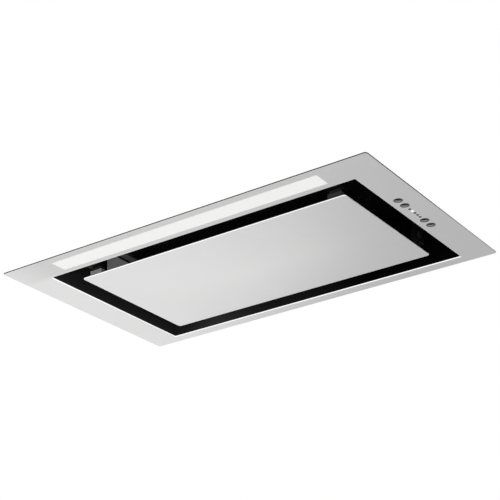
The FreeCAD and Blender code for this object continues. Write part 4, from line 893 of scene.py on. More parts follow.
@dataclass
class Fasteners:
    """All the screws or rivets of one CAD node, set where its solids are.

    The shares are of the head's radius or height, or of the shank's radius.
    """

    node: str
    head: Head = Head.CROSS
    finish: Finish = ZINC
    recess_share: float = 0.62
    slot_share: float = 0.17
    floor_share: float = 0.4
    sunk_share: float = 0.1
    edge_share: float = 0.25
    tip_share: float = 0.75
    taper_share: float = 0.3
    dome_steps: int = 6
    steps: int = 20
    seed: int = 7

    def build(self) -> Object:
        """Make the fasteners.

        Returns:
            One piece with all of them.
        """
        seats = [self.measure(points) for points in islands(self.node)]
        places = bpy.data.meshes.new(self.node + "_places")
        places.from_pydata([seat.at for seat in seats], [], [])
        ways = places.attributes.new("way", "FLOAT_VECTOR", "POINT")
        for target, seat in zip(ways.data, seats):
            target.vector = seat.way
        pattern = linked(bpy.data.objects.new(self.node + "_pattern", self.shape(seats[0])))
        tree = Tree(self.node + "_set")
        source = tree.node("GeometryNodeObjectInfo", take="Geometry",
                           Object=tree.size("Fastener", pattern))
        way = tree.node("GeometryNodeInputNamedAttribute", {"data_type": "FLOAT_VECTOR"}, Name="way")
        upright = tree.node("FunctionNodeAlignRotationToVector", {"axis": "Z"}, Vector=way)
        chance = tree.node("FunctionNodeRandomValue", {"data_type": "FLOAT"}, Min=0.0,
                           Max=tree.size("Largest Turn", math.pi), Seed=tree.size("Seed", self.seed))
        spun = tree.node("FunctionNodeRotateRotation", {"rotation_space": "LOCAL"}, _0=upright,
                         _1=tree.vector(z=chance))
        mesh = tree.run(tree.copies(tree.entry.outputs["Geometry"], source, spun), self.finish, places)
        bpy.data.objects.remove(pattern)
        return settle(self.node + "_finished", mesh, self.finish, self.node)

    @staticmethod
    def measure(points: Sequence[Vector]) -> Seat:
        """Find a fastener's seat, direction and sizes from its solid.

        Args:
            points: The corner points of the solid.

        Returns:
            The seat under the head, the way the head points, and the sizes of head and shank.
        """
        low, high = box_of(points)
        span = high - low
        axis = min(range(3), key=lambda i: abs(span[i - 1] - span[i - 2]))
        middle = (low + high) / 2

        def radius(point: Vector) -> float:
            """Distance of a point from the fastener's own axis."""
            return math.hypot(point[axis - 1] - middle[axis - 1], point[axis - 2] - middle[axis - 2])
        widest = max(map(radius, points))
        head = [p[axis] for p in points if radius(p) > HEAD_SHARE * widest]
        shank = [radius(p) for p in points if not min(head) - TOUCH < p[axis] < max(head) + TOUCH]
        outward = 1.0 if high[axis] - max(head) < TOUCH else -1.0
        seat = middle.copy()
        seat[axis] = min(head) if outward > 0 else max(head)
        way = Vector((0.0, 0.0, 0.0))
        way[axis] = outward
        height = max(head) - min(head)
        return Seat(seat, way, widest, height, max(shank), span[axis] - height)

    def shape(self, seat: Seat) -> Mesh:
        """One fastener at the origin with its head up.

        Args:
            seat: The sizes found by measure.

        Returns:
            Its mesh.
        """
        head, height, shank, length = seat.head, seat.height, seat.shank, seat.length
        floor = height * self.floor_share
        profile = [(0.0, -length), (shank * self.tip_share, -length),
                   (shank, shank * self.taper_share - length), (shank, 0.0)]
        bm = bmesh.new()
        if self.head is Head.DOME:
            angles = [math.pi / 2 * step / self.dome_steps for step in range(self.dome_steps)]
            profile += [(head * math.cos(a), height * math.sin(a)) for a in angles] + [(0.0, height)]
        else:
            profile += [(head, 0.0), (head, floor), (0.0, floor)]
        add_turned(bm, profile, Axis.Z, (0, 0, 0), self.steps)
        if self.head is Head.CROSS:
            recess = cross(head * self.recess_share, head * self.slot_share)
            add_plate(bm, [circle((0, 0), head, self.steps), recess], floor - height * self.sunk_share,
                      height, height * self.edge_share)
        return finished_mesh(self.node + "_pattern", bm)


@dataclass
class FrameSheet:
    """The stainless frame with its openings, the seal on it and the angles behind it."""

    corner: float = 4.0
    edge: float = 0.55
    fold: float = 1.1
    left_highlight_reach: float = 6.0
    fold_steps: int = 6
    margin: float = 2.0
    window_corner: float = 0.7
    tray_sheet: float = 1.0
    lens_rim: float = 2.0
    button_hole: float = 5.4
    guide_hole: float = 1.6
    guide_steps: int = 24
    hole_edge: float = 0.15
    hole_margin: float = 0.5

    def build(self) -> None:
        """Make the frame and what is fixed to its back."""
        low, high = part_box("fascia_frame")
        guides = [loop for node in ControlStrip.GUIDES for loop in self.guide_holes(node)]
        outline = rounded_rectangle(low, high, self.corner)
        bm = bmesh.new()
        add_plate(bm, [outline, *self.windows(), *self.button_holes(), *guides], low.z, high.z, 0.0)
        self.ease(bm, low.z)
        sheet = settle("frame_sheet", bm, FRAME_PAINTED_REFLECTION, "fascia_frame")
        # Edge finishes: the outer edges dark as painted shade, the inner edges and the recess folds bright
        # as painted highlights, the walls of the button holes darker as painted shade.
        finish_edges(sheet, PAINTED_SHADE_EDGE, *EVERYWHERE)
        finish_edges(sheet, BRIGHT_EDGE, low + sideways(self.margin), high - sideways(self.margin))
        low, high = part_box("recess_tray")
        finish_edges(sheet, PAINTED_HIGHLIGHT_FOLD, low, high)
        finish_edges(sheet, LEFT_PAINTED_HIGHLIGHT_FOLD, low, (low.x + self.left_highlight_reach * MM, high.y))
        finish_edges(sheet, HOLE_EDGE, *self.area(self.button_holes()))
        for node, (_, finish) in ControlStrip.GUIDES.items():
            finish_edges(sheet, finish, *self.area(self.guide_holes(node)))
        softened("perimeter_seal", FOAM, Ease.ROUND)
        softened("fascia_angles", GALVANISED)
        Fasteners("fascia_screws").build()

    def ease(self, bm: BMesh, bottom: float) -> None:
        """Fold the edge of the recess upwards and ease the other edges.

        Args:
            bm: The plain sheet.
            bottom: Height of its lower face.
        """
        level_faces(bm)
        rims = [e for e in bm.edges if e.calc_face_angle(0.0) > SHARP_ANGLE
                and abs(e.verts[0].co.z - e.verts[1].co.z) < TOUCH]

        def within(box: Sequence[Vector]) -> list[BMEdge]:
            """The rims inside a box, seen from below."""
            return [e for e in rims if all(box[0][i] < e.verts[0].co[i] < box[1][i] for i in (0, 1))]
        recess = within(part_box("recess_tray"))
        folded = [e for e in recess if abs(e.verts[0].co.z - bottom) < TOUCH]
        holes = within(self.area(self.button_holes()))
        others = [e for e in rims if e not in recess and e not in holes]
        ease_edges(bm, others, self.edge, clamp=False)
        ease_edges(bm, holes, self.hole_edge, clamp=False)
        ease_edges(bm, folded, self.fold, self.fold_steps, clamp=False)

    def area(self, loops: Sequence[Sequence[Point]]) -> tuple[Vector, Vector]:
        """Lowest and highest corner of a box round the outlines of some holes, with a margin."""
        low, high = box_of(Vector((*point, 0.0)) for loop in loops for point in loop)
        return low - sideways(self.hole_margin), high + sideways(self.hole_margin)

    def windows(self) -> list[list[Point]]:
        """Find the openings for the recess and for the lamp.

        Returns:
            Their outlines.
        """
        found = []
        for node, rim in (("recess_tray", self.tray_sheet), ("lamp_diffuser", self.lens_rim)):
            low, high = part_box(node)
            found.append(rounded_rectangle(low + sideways(rim), high - sideways(rim), self.window_corner))
        return found

    def button_holes(self) -> list[list[Point]]:
        """The outlines of the button holes."""
        return [circle(middle_of(name), self.button_hole * MM) for name in ControlStrip.BUTTONS]

    def guide_holes(self, node: str) -> list[list[Point]]:
        """The outlines of the holes for the light guides of one CAD node."""
        boxes = [box_of(points) for points in islands(node)]
        return [circle((low + high) / 2, self.guide_hole * MM, self.guide_steps) for low, high in boxes]


@dataclass
class LightStrip:
    """The opal lens along the front edge with the lamp behind it."""

    window_inset: float = 2.1
    window_corner: float = 0.6
    flange_height: float = 1.5
    edge: float = 0.25
    patch_radius: float = 1.1
    patch_height: float = 0.25
    patch_sides: int = 16

    def build(self) -> None:
        """Make the lens, the lamp housing and the board with its lights."""
        low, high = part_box("lamp_diffuser")
        inset, edge = sideways(self.window_inset), self.edge * MM
        seat = high.z - self.flange_height * MM
        bm = bmesh.new()
        window = rounded_rectangle(low + inset, high - inset, self.window_corner)
        add_plate(bm, [window], low.z, seat + edge, edge)
        add_plate(bm, [rounded_rectangle(low, high, self.window_corner)], seat, high.z, edge)
        settle("lamp_lens", bm, OPAL_LENS, "lamp_diffuser")
        softened("lamp_housing", GALVANISED, Ease.ROUND)
        softened("led_board", CIRCUIT_BOARD, Ease.HAIR)
        softened("led_chips", SMALL_ELECTRICS, Ease.HAIR)
        self.patches()
        Fasteners("board_screws").build()

    def patches(self) -> None:
        """The round light patch under each chip, as one row."""
        chips = [box_of(points) for points in islands("led_chips")]
        first = (chips[0][0] + chips[0][1]) / 2
        pitch = (chips[-1][0].x - chips[0][0].x) / (len(chips) - 1)
        level = chips[0][0].z - self.patch_height * MM / 2
        tree = Tree("light_patches")
        spots = tree.row(len(chips), (first.x, first.y, level), (pitch, 0.0, 0.0))
        pegs = tree.pegs(spots, self.patch_sides, self.patch_radius, self.patch_height)
        settle("led_patches", tree.run(pegs, LIGHT_PATCH), LIGHT_PATCH, "led_chips", stands_for=False)


@dataclass
class ControlStrip:
    """Four cupped push buttons, five light guides and the switch housing behind them.

    GUIDES gives the radius of the tips and the finish for each CAD node of light guides.
    """

    BUTTONS: ClassVar[tuple[str, ...]] = ("light_button", "minus_button", "plus_button", "timer_button")
    GUIDES: ClassVar[dict[str, tuple[float, Finish]]] = {"indicator_pipes": (1.5, DARK_GUIDE),
                                                         "indicator_pipe_lit": (1.3, LIT_GUIDE)}

    face_radius: float = 5.1
    face_edge: float = 0.1
    rim: float = 0.15
    cup: float = 2.0
    cup_floor: float = 4.3
    cup_back: float = 2.4
    cup_steps: int = 4
    flange_radius: float = 7.2
    flange_low: float = 0.5
    flange_high: float = 1.7
    stem_radius: float = 2.5
    guide_flange: float = 2.2
    guide_radius: float = 1.4
    guide_flange_low: float = 1.0
    guide_flange_high: float = 1.8
    guide_steps: int = 24
    dome: float = 0.35
    dome_steps: int = 6

    def build(self) -> None:
        """Make the buttons, the light guides and the pieces behind them."""
        for name in self.BUTTONS:
            self.button(name)
        for node, (radius, finish) in self.GUIDES.items():
            self.guides(node, radius, finish)
        softened("control_housing", BLACK_PLASTIC)
        softened("control_cover", BLACK_PLASTIC)
        softened("control_board", CIRCUIT_BOARD, Ease.HAIR)
        softened("tact_switches", SWITCH_PLASTIC, Ease.FINE)

    def button(self, name: str) -> None:
        """Turn one button: a finger cup with a thin rim, a flange and a stem.

        Args:
            name: The button's CAD node.
        """
        low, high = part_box(name)
        middle = (low + high) / 2
        top = (high.z - low.z) / MM
        outer, brim = self.face_radius, self.face_radius - self.rim
        shares = [step / self.cup_steps for step in range(1, self.cup_steps)]
        bend = [(self.cup_floor + (brim - self.cup_floor) * s ** 2, self.cup * (1 - s)) for s in shares]
        face = [(0.0, self.cup), (self.cup_floor, self.cup), *bend, (brim, 0.0), (outer, self.face_edge)]
        back = [(outer, self.flange_low), (self.flange_radius, self.flange_low),
                (self.flange_radius, self.flange_high), (outer, self.flange_high), (outer, self.cup_back),
                (self.stem_radius, self.cup_back), (self.stem_radius, top), (0.0, top)]
        bm = bmesh.new()
        add_turned(bm, metres(face + back), Axis.Z, (middle.x, middle.y, low.z))
        finish = replace(BUTTON_METAL, name="button_metal_" + name, middle=tuple(middle / MM))
        piece = settle(name + "_finished", bm, finish, name)
        # The floor of each cup gets the blackened finish, as painted shade in the cup.
        piece.data.materials.append(BLACKENED.material())
        level = low.z + self.cup * MM
        for face in piece.data.polygons:
            if abs(face.center.z - level) < self.rim * MM and face.normal.z < FACING_DOWN:
                face.material_index = 1

    def guides(self, node: str, radius: float, finish: Finish) -> None:
        """Turn the light guides of one CAD node, each with a domed tip.

        Args:
            node: The CAD node.
            radius: Radius of the tip in millimetres.
            finish: Lit or dark.
        """
        angles = [math.pi / 2 * step / self.dome_steps for step in range(self.dome_steps + 1)]
        tip = [(radius * math.sin(a), self.dome * (1 - math.cos(a))) for a in angles]
        bm = bmesh.new()
        for points in islands(node):
            low, high = box_of(points)
            middle = (low + high) / 2
            top = (high.z - low.z) / MM
            body = [(radius, self.guide_flange_low), (self.guide_flange, self.guide_flange_low),
                    (self.guide_flange, self.guide_flange_high),
                    (self.guide_radius, self.guide_flange_high), (self.guide_radius, top), (0.0, top)]
            add_turned(bm, metres(tip + body), Axis.Z, (middle.x, middle.y, low.z), self.guide_steps)
        settle(node + "_finished", bm, finish, node)


@dataclass
class SuctionPanel:
    """The hinged panel that hides the filter, with its backing, strikes and hinge arms."""

    corner: float = 4.0
    edge: float = 0.7
    rim: float = 2.0

    def build(self) -> None:
        """Make the panel and what is fixed to it."""
        low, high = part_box("panel_skin")
        rim, far = self.rim * MM, EVERYWHERE[0]
        bm = bmesh.new()
        add_plate(bm, [rounded_rectangle(low, high, self.corner)], low.z, high.z, self.edge * MM)
        skin = settle("suction_panel", bm, PANEL_PAINTED_SHEEN, "panel_skin")
        # Painted highlights on the panel's edges, strongest on the front edge; the right edge keeps the
        # panel's own finish.
        finish_edges(skin, BRIGHT_EDGE, far, (high.x - rim, high.y + rim))
        finish_edges(skin, PAINTED_HIGHLIGHT_FOLD, far, (high.x, low.y + rim))
        softened("panel_backing", BLACK_ENAMEL)
        strikes = softened("catch_strikes", MATT_ZINC, Ease.THIN)
        # The strike on the right is painted darker as painted shade.
        finish_edges(strikes, PAINTED_SHADE_ZINC, (0.0, low.y), high, ALL_FACES)
        softened("panel_hinge_arms", BLACKENED)
        softened("hinge_bushes", BRONZE)


@dataclass
class HingeAndCatch:
    """The fixed half of the hinge and the magnetic catches."""

    edge: Ease = Ease.ROUND

    def build(self) -> None:
        """Make the brackets, pins, catches and their screws."""
        softened("hinge_brackets", BLACK_ENAMEL, self.edge)
        softened("hinge_pins", BLACKENED)
        softened("catch_bodies", BLACK_ENAMEL, self.edge)
        softened("catch_magnets", FERRITE)
        for node in ("hinge_bracket_screws", "catch_screws"):
            Fasteners(node, finish=BLACKENED).build()


@dataclass
class GreaseFilter:
    """The recess tray, the filter frame with its expanded mesh, and the sliding latch."""

    pitch: float = 9.0
    rise: float = 2.6
    strand: float = 0.9
    sheet: float = 0.8
    layers: int = 2
    layer_shift: float = 0.6
    rib_count: int = 5
    rib_sides: int = 12
    rib_pitch: float = 1.9
    rib_radius: float = 0.5
    rib_length: float = 22.0
    tray_sheet: float = 1.0
    rail_front: float = -7.5
    rail_height: float = 36.0
    rail_sheet: float = 0.8
    rail_edge: float = 0.2
    rail_gap: float = 1.2
    rail_rear_gap: float = 14.0

    def build(self) -> None:
        """Make the tray, the filter and its latch."""
        # The tray and the filter frame carry painted sheen and shade, lightest at the left.
        softened("recess_tray", PAINTED_SHEEN_TRAY, Ease.SOFT)
        softened("filter_frame", PAINTED_SHADE_FILTER, Ease.THIN)
        self.mesh()
        softened("latch_guide", BLACK_PLASTIC, Ease.ROUND)
        softened("filter_latch", BLACK_PLASTIC, Ease.FULL)
        self.grip()
        self.rails()

    def mesh(self) -> None:
        """Layers of expanded mesh, as zigzag strands that touch at their peaks."""
        low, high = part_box("filter_mesh")
        half, tall, sheet = self.pitch / 2 * MM, self.rise * MM, self.sheet * MM
        rows = int((high.y - low.y) / tall) - 1
        points = int((high.x - low.x) / half) - 1
        tree = Tree("expanded_mesh")
        step, rise = tree.size("Half Pitch", half), tree.size("Rise", tall)
        line = tree.node("GeometryNodeMeshLine", Count=tree.size("Points", points),
                         Offset=tree.vector(x=step))
        odd = number(tree.group, "MODULO", tree.node("GeometryNodeInputIndex"), 2.0)
        zigzag = tree.node("GeometryNodeSetPosition", Geometry=line,
                           Offset=tree.vector(y=number(tree.group, "MULTIPLY", odd, rise)))
        strand = tree.bar(tree.node("GeometryNodeMeshToCurve", Mesh=zigzag), self.strand, self.sheet)
        start = tree.size("Corner", (low.x + half, low.y + tall / 2, low.z + sheet / 2))
        seats = tree.node("GeometryNodeMeshLine", Count=tree.size("Rows", rows), Start_Location=start,
                          Offset=tree.vector(y=rise))
        moved = tree.node("GeometryNodeSetPosition", Geometry=seats,
                          Offset=tree.vector(x=number(tree.group, "MULTIPLY", odd, step)))
        apart = (0.0, self.layer_shift * MM, high.z - low.z - sheet)
        levels = tree.row(self.layers, (0.0, 0.0, 0.0), apart)
        both = tree.copies(levels, tree.copies(moved, strand))
        settle("expanded_mesh", tree.run(both, DARK_MESH), DARK_MESH, "filter_mesh")

    def rails(self) -> None:
        """Two plain sheet rails on the side walls, under the rear half of the filter."""
        low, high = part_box("recess_tray")
        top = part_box("filter_frame")[0].z - self.rail_gap * MM
        bm = bmesh.new()
        for wall, inward in ((low.x, 1), (high.x, -1)):
            near = wall + inward * self.tray_sheet * MM
            far = near + inward * self.rail_sheet * MM
            add_box(bm, (min(near, far), self.rail_front * MM, top - self.rail_height * MM),
                    (max(near, far), high.y - self.rail_rear_gap * MM, top), self.rail_edge)
        settle("filter_rails", bm, RAIL_ZINC, "housing_shell", stands_for=False)

    def grip(self) -> None:
        """Finger ribs on the face of the latch."""
        low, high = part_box("filter_latch")
        pitch = self.rib_pitch * MM
        tree = Tree("latch_ribs")
        spots = tree.row(self.rib_count, (0.0, high.y, low.z + pitch), (0.0, 0.0, pitch))
        ribs = tree.pegs(spots, self.rib_sides, self.rib_radius, self.rib_length, (0.0, math.pi / 2, 0.0))
        mesh = tree.run(ribs, BLACK_PLASTIC)
        settle("latch_ribs", mesh, BLACK_PLASTIC, "filter_latch", stands_for=False)


@dataclass
class Body:
    """The galvanised body above the frame with its screwed top and spring clips."""

    edge: Ease = Ease.BROAD

    def build(self) -> None:
        """Make the body, its top, its screws and its clips."""
        softened("housing_shell", GALVANISED, self.edge)
        softened("housing_top", TOP_SHEET)
        Fasteners("housing_screws").build()
        softened("side_clips", SPRING_STEEL, Ease.FINE)
        Fasteners("side_clip_rivets", Head.DOME).build()


@dataclass
class FanUnit:
    """The fan box with the scroll, the wheel and the motor inside it."""

    edge: Ease = Ease.HEAVY
    can_shortest: float = 1.0
    blades: int = 32
    wheel_radius: float = 65.0
    wheel_edge: float = 0.5
    blade_root: float = 53.6
    blade_tip: float = 64.1
    blade_bend: float = 59.0
    blade_sheet: float = 1.0
    blade_lean: float = 3.0
    blade_points: int = 7
    ring_width: float = 12.0
    ring_sheet: float = 2.0
    disc_radius: float = 59.0
    disc_half: float = 1.0
    hub_radius: float = 10.0
    hub_half: float = 7.0
    bore_radius: float = 4.05

    def build(self) -> None:
        """Make the box, the scroll, the wheel and the motor."""
        softened("fan_box", BOX_SHEET, self.edge)
        softened("scroll_left", SCROLL_PLASTIC, Ease.ROUND)
        softened("scroll_right", SCROLL_PLASTIC, Ease.ROUND)
        Fasteners("scroll_screws").build()
        self.wheel()
        softened("motor_can", MOTOR_CAN, self.edge, self.can_shortest)
        for node in ("motor_stator", "motor_rotor"):
            softened(node, LAMINATIONS, Ease.FINE)
        for node in ("motor_shaft", "motor_bearings", "motor_spider"):
            softened(node, ZINC)

    def wheel(self) -> None:
        """Turn the rings, disc and hub of the wheel, and set its curved blades round them."""
        centre = middle_of("impeller_wheel")
        half = (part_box("impeller_wheel")[1].x - centre.x) / MM
        bm = bmesh.new()
        outer, inner = self.wheel_radius, self.wheel_radius - self.ring_width
        for near, far in ((-half, self.ring_sheet - half), (half - self.ring_sheet, half)):
            ring = eased([(inner, near), (outer, near), (outer, far), (inner, far)], self.wheel_edge)
            add_turned(bm, metres(ring), Axis.X, centre, 2 * TURN_STEPS)
        side = [(self.bore_radius, self.hub_half), (self.hub_radius, self.hub_half),
                (self.hub_radius, self.disc_half), (self.disc_radius, self.disc_half)]
        hub = [(radius, -along) for radius, along in side] + side[::-1]
        add_turned(bm, metres(eased(hub, self.wheel_edge)), Axis.X, centre)
        settle("wheel_rings", bm, BLACK_PLASTIC, "impeller_wheel")

        tree = Tree("curved_blades")
        bends = {"Start": (self.blade_root, 0.0), "Middle": (self.blade_bend, -self.blade_lean / 2),
                 "End": (self.blade_tip, self.blade_lean)}
        ends = {name: tree.size(name, (x * MM, y * MM, 0.0)) for name, (x, y) in bends.items()}
        arc = tree.node("GeometryNodeCurveArc", {"mode": "POINTS"},
                        Resolution=tree.size("Points", self.blade_points), **ends)
        blade = tree.bar(arc, self.blade_sheet, 2 * half - self.ring_sheet)
        seats = tree.row(self.blades, (0.0, 0.0, 0.0), (0.0, 0.0, 0.0))
        turn = number(tree.group, "MULTIPLY", tree.node("GeometryNodeInputIndex"),
                      tree.size("Blade Turn", 2 * math.pi / self.blades))
        blades = tree.copies(seats, blade, tree.vector(z=turn))
        wheel = tree.placed(blades, tuple(centre), (0.0, math.pi / 2, 0.0))
        mesh = tree.run(wheel, BLACK_PLASTIC)
        settle("wheel_blades", mesh, BLACK_PLASTIC, "impeller_wheel", stands_for=False)


@dataclass
class Outlet:
    """The round outlet collar with its grooves, and the two non-return flaps on their pin."""

    flange_radius: float = 92.0
    flange_sheet: float = 1.5
    flange_edge: float = 0.3
    flange_top_edge: float = 0.4
    outer_radius: float = 74.5
    inner_radius: float = 73.0
    stop_radius: float = 69.0
    stop_height: float = 8.0
    fillet: float = 1.5
    fillet_bend: float = 0.45
    lead_in: float = 0.7
    lead_height: float = 4.0
    lip_height: float = 0.3
    lip_width: float = 0.25
    groove_depth: float = 0.45
    groove_height: float = 1.6
    groove_levels: tuple[float, ...] = (14.0, 20.0, 26.0, 32.0)

    def build(self) -> None:
        """Make the collar, the flaps and their pin."""
        low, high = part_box("exhaust_collar")
        top = (high.z - low.z) / MM
        rim, sheet, outer = self.flange_radius, self.flange_sheet, self.outer_radius
        profile = [(rim - self.flange_edge, 0.0), (rim, self.flange_edge),
                   (rim, sheet - self.flange_top_edge), (rim - self.flange_top_edge, sheet),
                   (outer + self.fillet, sheet), (outer + self.fillet_bend, sheet + self.fillet_bend),
                   (outer, sheet + self.fillet)]
        step, floor = self.groove_height / 2, outer - self.groove_depth
        for level in self.groove_levels:
            profile += [(outer, level - step), (floor, level - step / 2), (floor, level + step / 2),
                        (outer, level + step)]
        lip = outer - self.lead_in
        profile += [(outer, top - self.lead_height), (lip, top - self.lip_height),
                    (lip - self.lip_width, top), (self.inner_radius, top),
                    (self.inner_radius, self.stop_height), (self.stop_radius, self.stop_height),
                    (self.stop_radius, 0.0)]
        bm = bmesh.new()
        add_turned(bm, metres(profile), Axis.Z, (0.0, 0.0, low.z), 2 * TURN_STEPS)
        settle("outlet_collar", bm, BLACK_PLASTIC, "exhaust_collar")
        Fasteners("collar_screws").build()
        softened("damper_flap_front", FLAP_PLASTIC)
        softened("damper_flap_rear", FLAP_PLASTIC)
        softened("damper_pin", ZINC)


@dataclass
class Electrics:
    """The terminal box with its cable gland, the capacitor and the lamp driver."""

    lid_height: float = 9.0
    seam: float = 0.8
    case_edge: float = 1.6
    bore: float = 4.0
    neck: float = 8.0
    neck_end: float = 2.0
    collar_end: float = 5.0
    nut: float = 9.0
    nut_end: float = 18.5
    mouth: float = 7.4
    mouth_start: float = 20.5
    mouth_tip: float = 6.6
    gland_edge: float = 0.5
    rib_count: int = 18
    rib_sides: int = 10
    rib_radius: float = 0.55
    rib_length: float = 11.0
    rib_middle: float = 11.8

    def build(self) -> None:
        """Make the electrical pieces."""
        self.terminal_box()
        self.gland()
        softened("capacitor", CAPACITOR_CAN, Ease.ROUND)
        softened("led_driver", GREY_PLASTIC, Ease.HEAVY)

    def terminal_box(self) -> None:
        """A moulded base with a lid that overhangs it."""
        low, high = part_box("terminal_box")
        parting = high.z - self.lid_height * MM
        seam = sideways(self.seam)
        bm = bmesh.new()
        add_box(bm, low + seam, (*(high - seam).xy, parting + self.seam * MM), self.case_edge)
        add_box(bm, (*low.xy, parting), high, self.case_edge)
        settle("terminal_case", bm, GREY_PLASTIC, "terminal_box")

    def gland(self) -> None:
        """A turned gland with a ribbed nut and a tapered mouth."""
        low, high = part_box("cable_gland")
        middle = (low + high) / 2
        radius = (high.x - low.x) / 2 / MM
        length = (high.y - low.y) / MM
        profile = [(self.bore, 0.0), (self.neck, 0.0), (self.neck, self.neck_end),
                   (radius, self.neck_end), (radius, self.collar_end), (self.nut, self.collar_end),
                   (self.nut, self.nut_end), (self.mouth, self.mouth_start), (self.mouth_tip, length),
                   (self.bore, length)]
        bm = bmesh.new()
        add_turned(bm, metres(eased(profile, self.gland_edge)), Axis.Y, (middle.x, low.y, middle.z))
        settle("gland_body", bm, GLAND_PLASTIC, "cable_gland")

        tree = Tree("gland_ribs")
        spots = tree.node("GeometryNodeMeshCircle", Vertices=tree.size("Count", self.rib_count),
                          Radius=tree.size("Nut Radius", self.nut * MM))
        ribs = tree.pegs(spots, self.rib_sides, self.rib_radius, self.rib_length)
        centre = (middle.x, low.y + self.rib_middle * MM, middle.z)
        mesh = tree.run(tree.placed(ribs, centre, (math.pi / 2, 0.0, 0.0)), GLAND_PLASTIC)
        settle("gland_grip", mesh, GLAND_PLASTIC, "cable_gland", stands_for=False)


def seen_directly(tree: NodeTree) -> NodeSocket:
    """One where a ray comes from the camera, a mirror-like surface or glass, and zero elsewhere.

    Args:
        tree: The node tree that asks.

    Returns:
        The socket that carries the answer.
    """
    path = add_node(tree, "ShaderNodeLightPath").outputs
    glossy = number(tree, "MAXIMUM", path["Is Camera Ray"], path["Is Glossy Ray"])
    return number(tree, "MAXIMUM", glossy, path["Is Transmission Ray"])


def blend(tree: NodeTree, share: NodeSocket, first: NodeSocket,
          second: NodeSocket) -> NodeSocket:
    """Two surfaces mixed, the first where the share is zero and the second where it is one."""
    return add_node(tree, "ShaderNodeMixShader", _0=share, _1=first, _2=second).outputs[0]


def light(tree: NodeTree, level: float = 1.0) -> NodeSocket:
    """An even neutral light."""
    return add_node(tree, "ShaderNodeEmission", Color=(*grey(level), 1.0)).outputs[0]


def stage_piece(mesh: Mesh, *unseen_by: str) -> NodeTree:
    """Put a piece of the stage into the scene.

    Args:
        mesh: Its mesh, which names it.
        *unseen_by: The kinds of ray that pass it by.

    Returns:
        The node tree of its material, still without its surface.
    """
    look = bpy.data.materials.new(mesh.name)
    look.use_nodes = True
    mesh.materials.append(look)
    item = linked(bpy.data.objects.new(mesh.name, mesh))
    for kind in unseen_by:
        setattr(item, "visible_" + kind, False)
    return look.node_tree


@dataclass(frozen=True)
class Lamp:
    """A soft square lamp aimed at the hood. Its place and side are in millimetres, its power in watts."""

    name: str
    place: Triple
    side: float
    power: float

    def build(self) -> None:
        """Make the lamp, which polished surfaces don't mirror."""
        data = bpy.data.lights.new(self.name, "AREA")
        data.size = self.side * MM
        data.energy = self.power
        item = linked(bpy.data.objects.new(self.name, data))
        item.location = Vector(self.place) * MM
        item.rotation_mode = "QUATERNION"
        item.rotation_quaternion = (-item.location).to_track_quat("-Z", "Y")
        item.visible_glossy = False


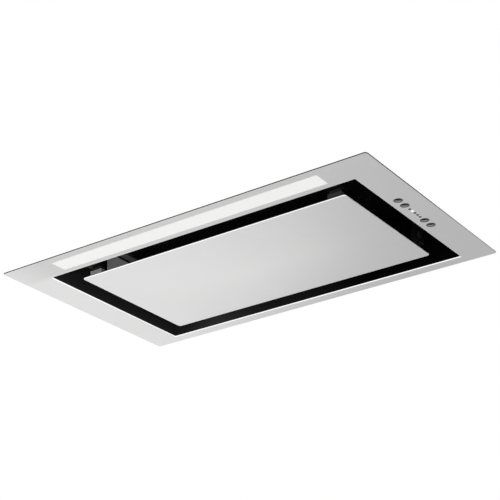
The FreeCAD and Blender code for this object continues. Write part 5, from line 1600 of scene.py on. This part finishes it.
@dataclass
class Studio:
    """White surroundings, soft lamps, and the camera at the photograph's viewing angle."""

    aim: Triple = (23.3, -29.1, -1.6)
    distance: float = 1681.1
    azimuth: float = 34.08
    elevation: float = -24.94
    roll: float = -1.28
    lens: float = 100.65
    high_panel: Lamp = Lamp("high_panel", (-900.0, -1400.0, 2200.0), 1800.0, 32.0)
    low_panel: Lamp = Lamp("low_panel", (-2300.0, 900.0, -1300.0), 1800.0, 26.0)
    front_side: float = 400.0
    front_power: float = 10.0
    front_reach: float = 1.2
    ambient: float = 0.75
    floor_level: float = -2600.0
    floor_half: float = 5000.0
    floor_tone: float = 0.85
    floor_roughness: float = 0.9
    cabinet_gap: float = 2.5
    cabinet_corner: float = 2.0
    frame_gap: float = 0.05
    shade_level: float = 0.06
    card_outline: tuple[Point, ...] = ((2000.0, -2580.0), (2000.0, 0.0), (-1900.0, 0.0),
                                       (-1900.0, -900.0), (-1370.0, -1380.0), (-1370.0, -1640.0),
                                       (-2300.0, -2120.0), (-2300.0, -2580.0))
    card_back: float = 2600.0
    card_level: float = 0.575

    def build(self) -> None:
        """Set up the camera, the world, the lamps and the stage."""
        scene = bpy.context.scene
        scene.view_settings.view_transform = "Standard"
        self.camera()
        self.world()
        beside = tuple(self.eye() / MM * self.front_reach)
        front_panel = Lamp("front_panel", beside, self.front_side, self.front_power)
        for lamp in (self.high_panel, self.low_panel, front_panel):
            lamp.build()
        self.floor()
        self.cabinet_underside()
        self.grey_card()

    def eye(self) -> Vector:
        """Find where the camera stands.

        Returns:
            Its place in metres.
        """
        a, e = math.radians(self.azimuth), math.radians(self.elevation)
        back = Vector((math.sin(a) * math.cos(e), -math.cos(a) * math.cos(e), math.sin(e)))
        return (Vector(self.aim) + back * self.distance) * MM

    def camera(self) -> None:
        """Make the camera and aim it."""
        data = bpy.data.cameras.new("photo_camera")
        data.lens = self.lens
        item = linked(bpy.data.objects.new("photo_camera", data))
        item.location = self.eye()
        item.rotation_mode = "QUATERNION"
        ahead = Vector(self.aim) * MM - self.eye()
        item.rotation_quaternion = (ahead.to_track_quat("-Z", "Y")
                                    @ Quaternion((0.0, 0.0, 1.0), math.radians(self.roll)))
        bpy.context.scene.camera = item

    def world(self) -> None:
        """White for what the camera and polished surfaces see, a plain ambient level for the rest."""
        world = bpy.data.worlds.new("studio")
        bpy.context.scene.world = world
        world.use_nodes = True
        tree = world.node_tree
        plain = tree.nodes["Background"]
        feed(tree, plain, Color=WHITE, Strength=self.ambient)
        white = add_node(tree, "ShaderNodeBackground", Color=WHITE)
        mixed = blend(tree, seen_directly(tree), plain.outputs[0], white.outputs[0])
        feed(tree, tree.nodes["World Output"], Surface=mixed)

    def corners(self) -> list[Point]:
        """The corners of the floor and of the cabinet underside."""
        half = self.floor_half * MM
        return [(-half, -half), (half, -half), (half, half), (-half, half)]

    def floor(self) -> None:
        """A plain pale floor far below, white where it is seen directly."""
        mesh = bpy.data.meshes.new("floor")
        mesh.from_pydata([(x, y, self.floor_level * MM) for x, y in self.corners()], [], [range(4)])
        tree = stage_piece(mesh)
        paint = tree.nodes["Principled BSDF"]
        feed(tree, paint, Base_Color=(*grey(self.floor_tone), 1.0), Roughness=self.floor_roughness)
        mixed = blend(tree, seen_directly(tree), paint.outputs[0], light(tree))
        feed(tree, tree.nodes["Material Output"], Surface=mixed)

    def cabinet_underside(self) -> None:
        """The white underside of the cabinet round the body, which is seen from below only."""
        low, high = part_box("housing_shell")
        gap = sideways(self.cabinet_gap)
        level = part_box("fascia_frame")[1].z + self.frame_gap * MM
        hole = rounded_rectangle(low - gap, high + gap, self.cabinet_corner)
        bm = bmesh.new()
        add_plate(bm, [self.corners(), hole], level, level, 0.0)
        for face in bm.faces:
            if face.normal.z > 0:
                face.normal_flip()
        mesh = bpy.data.meshes.new("cabinet_underside")
        bm.to_mesh(mesh)
        bm.free()
        tree = stage_piece(mesh, "diffuse", "transmission", "shadow")
        path = add_node(tree, "ShaderNodeLightPath").outputs["Is Camera Ray"]
        above = add_node(tree, "ShaderNodeNewGeometry").outputs["Backfacing"]
        clear = add_node(tree, "ShaderNodeBsdfTransparent").outputs[0]
        below = blend(tree, path, light(tree, self.shade_level), light(tree))
        feed(tree, tree.nodes["Material Output"], Surface=blend(tree, above, below, clear))

    def grey_card(self) -> None:
        """A grey card behind the hood that the right end of the frame mirrors."""
        mesh = bpy.data.meshes.new("grey_card")
        corners = [(x * MM, self.card_back * MM, z * MM) for x, z in self.card_outline]
        mesh.from_pydata(corners, [], [range(len(corners))])
        tree = stage_piece(mesh, "camera", "diffuse", "shadow")
        feed(tree, tree.nodes["Material Output"], Surface=light(tree, self.card_level))


def main() -> None:
    """Build the sub-assemblies in order, then the studio."""
    logging.basicConfig(level=logging.INFO, format="%(message)s")
    for part in (FrameSheet(), LightStrip(), ControlStrip(), SuctionPanel(), HingeAndCatch(),
                 GreaseFilter(), Body(), FanUnit(), Outlet(), Electrics(), Studio()):
        log.info("building %s", type(part).__name__)
        part.build()


if __name__ == "__main__":
    main()
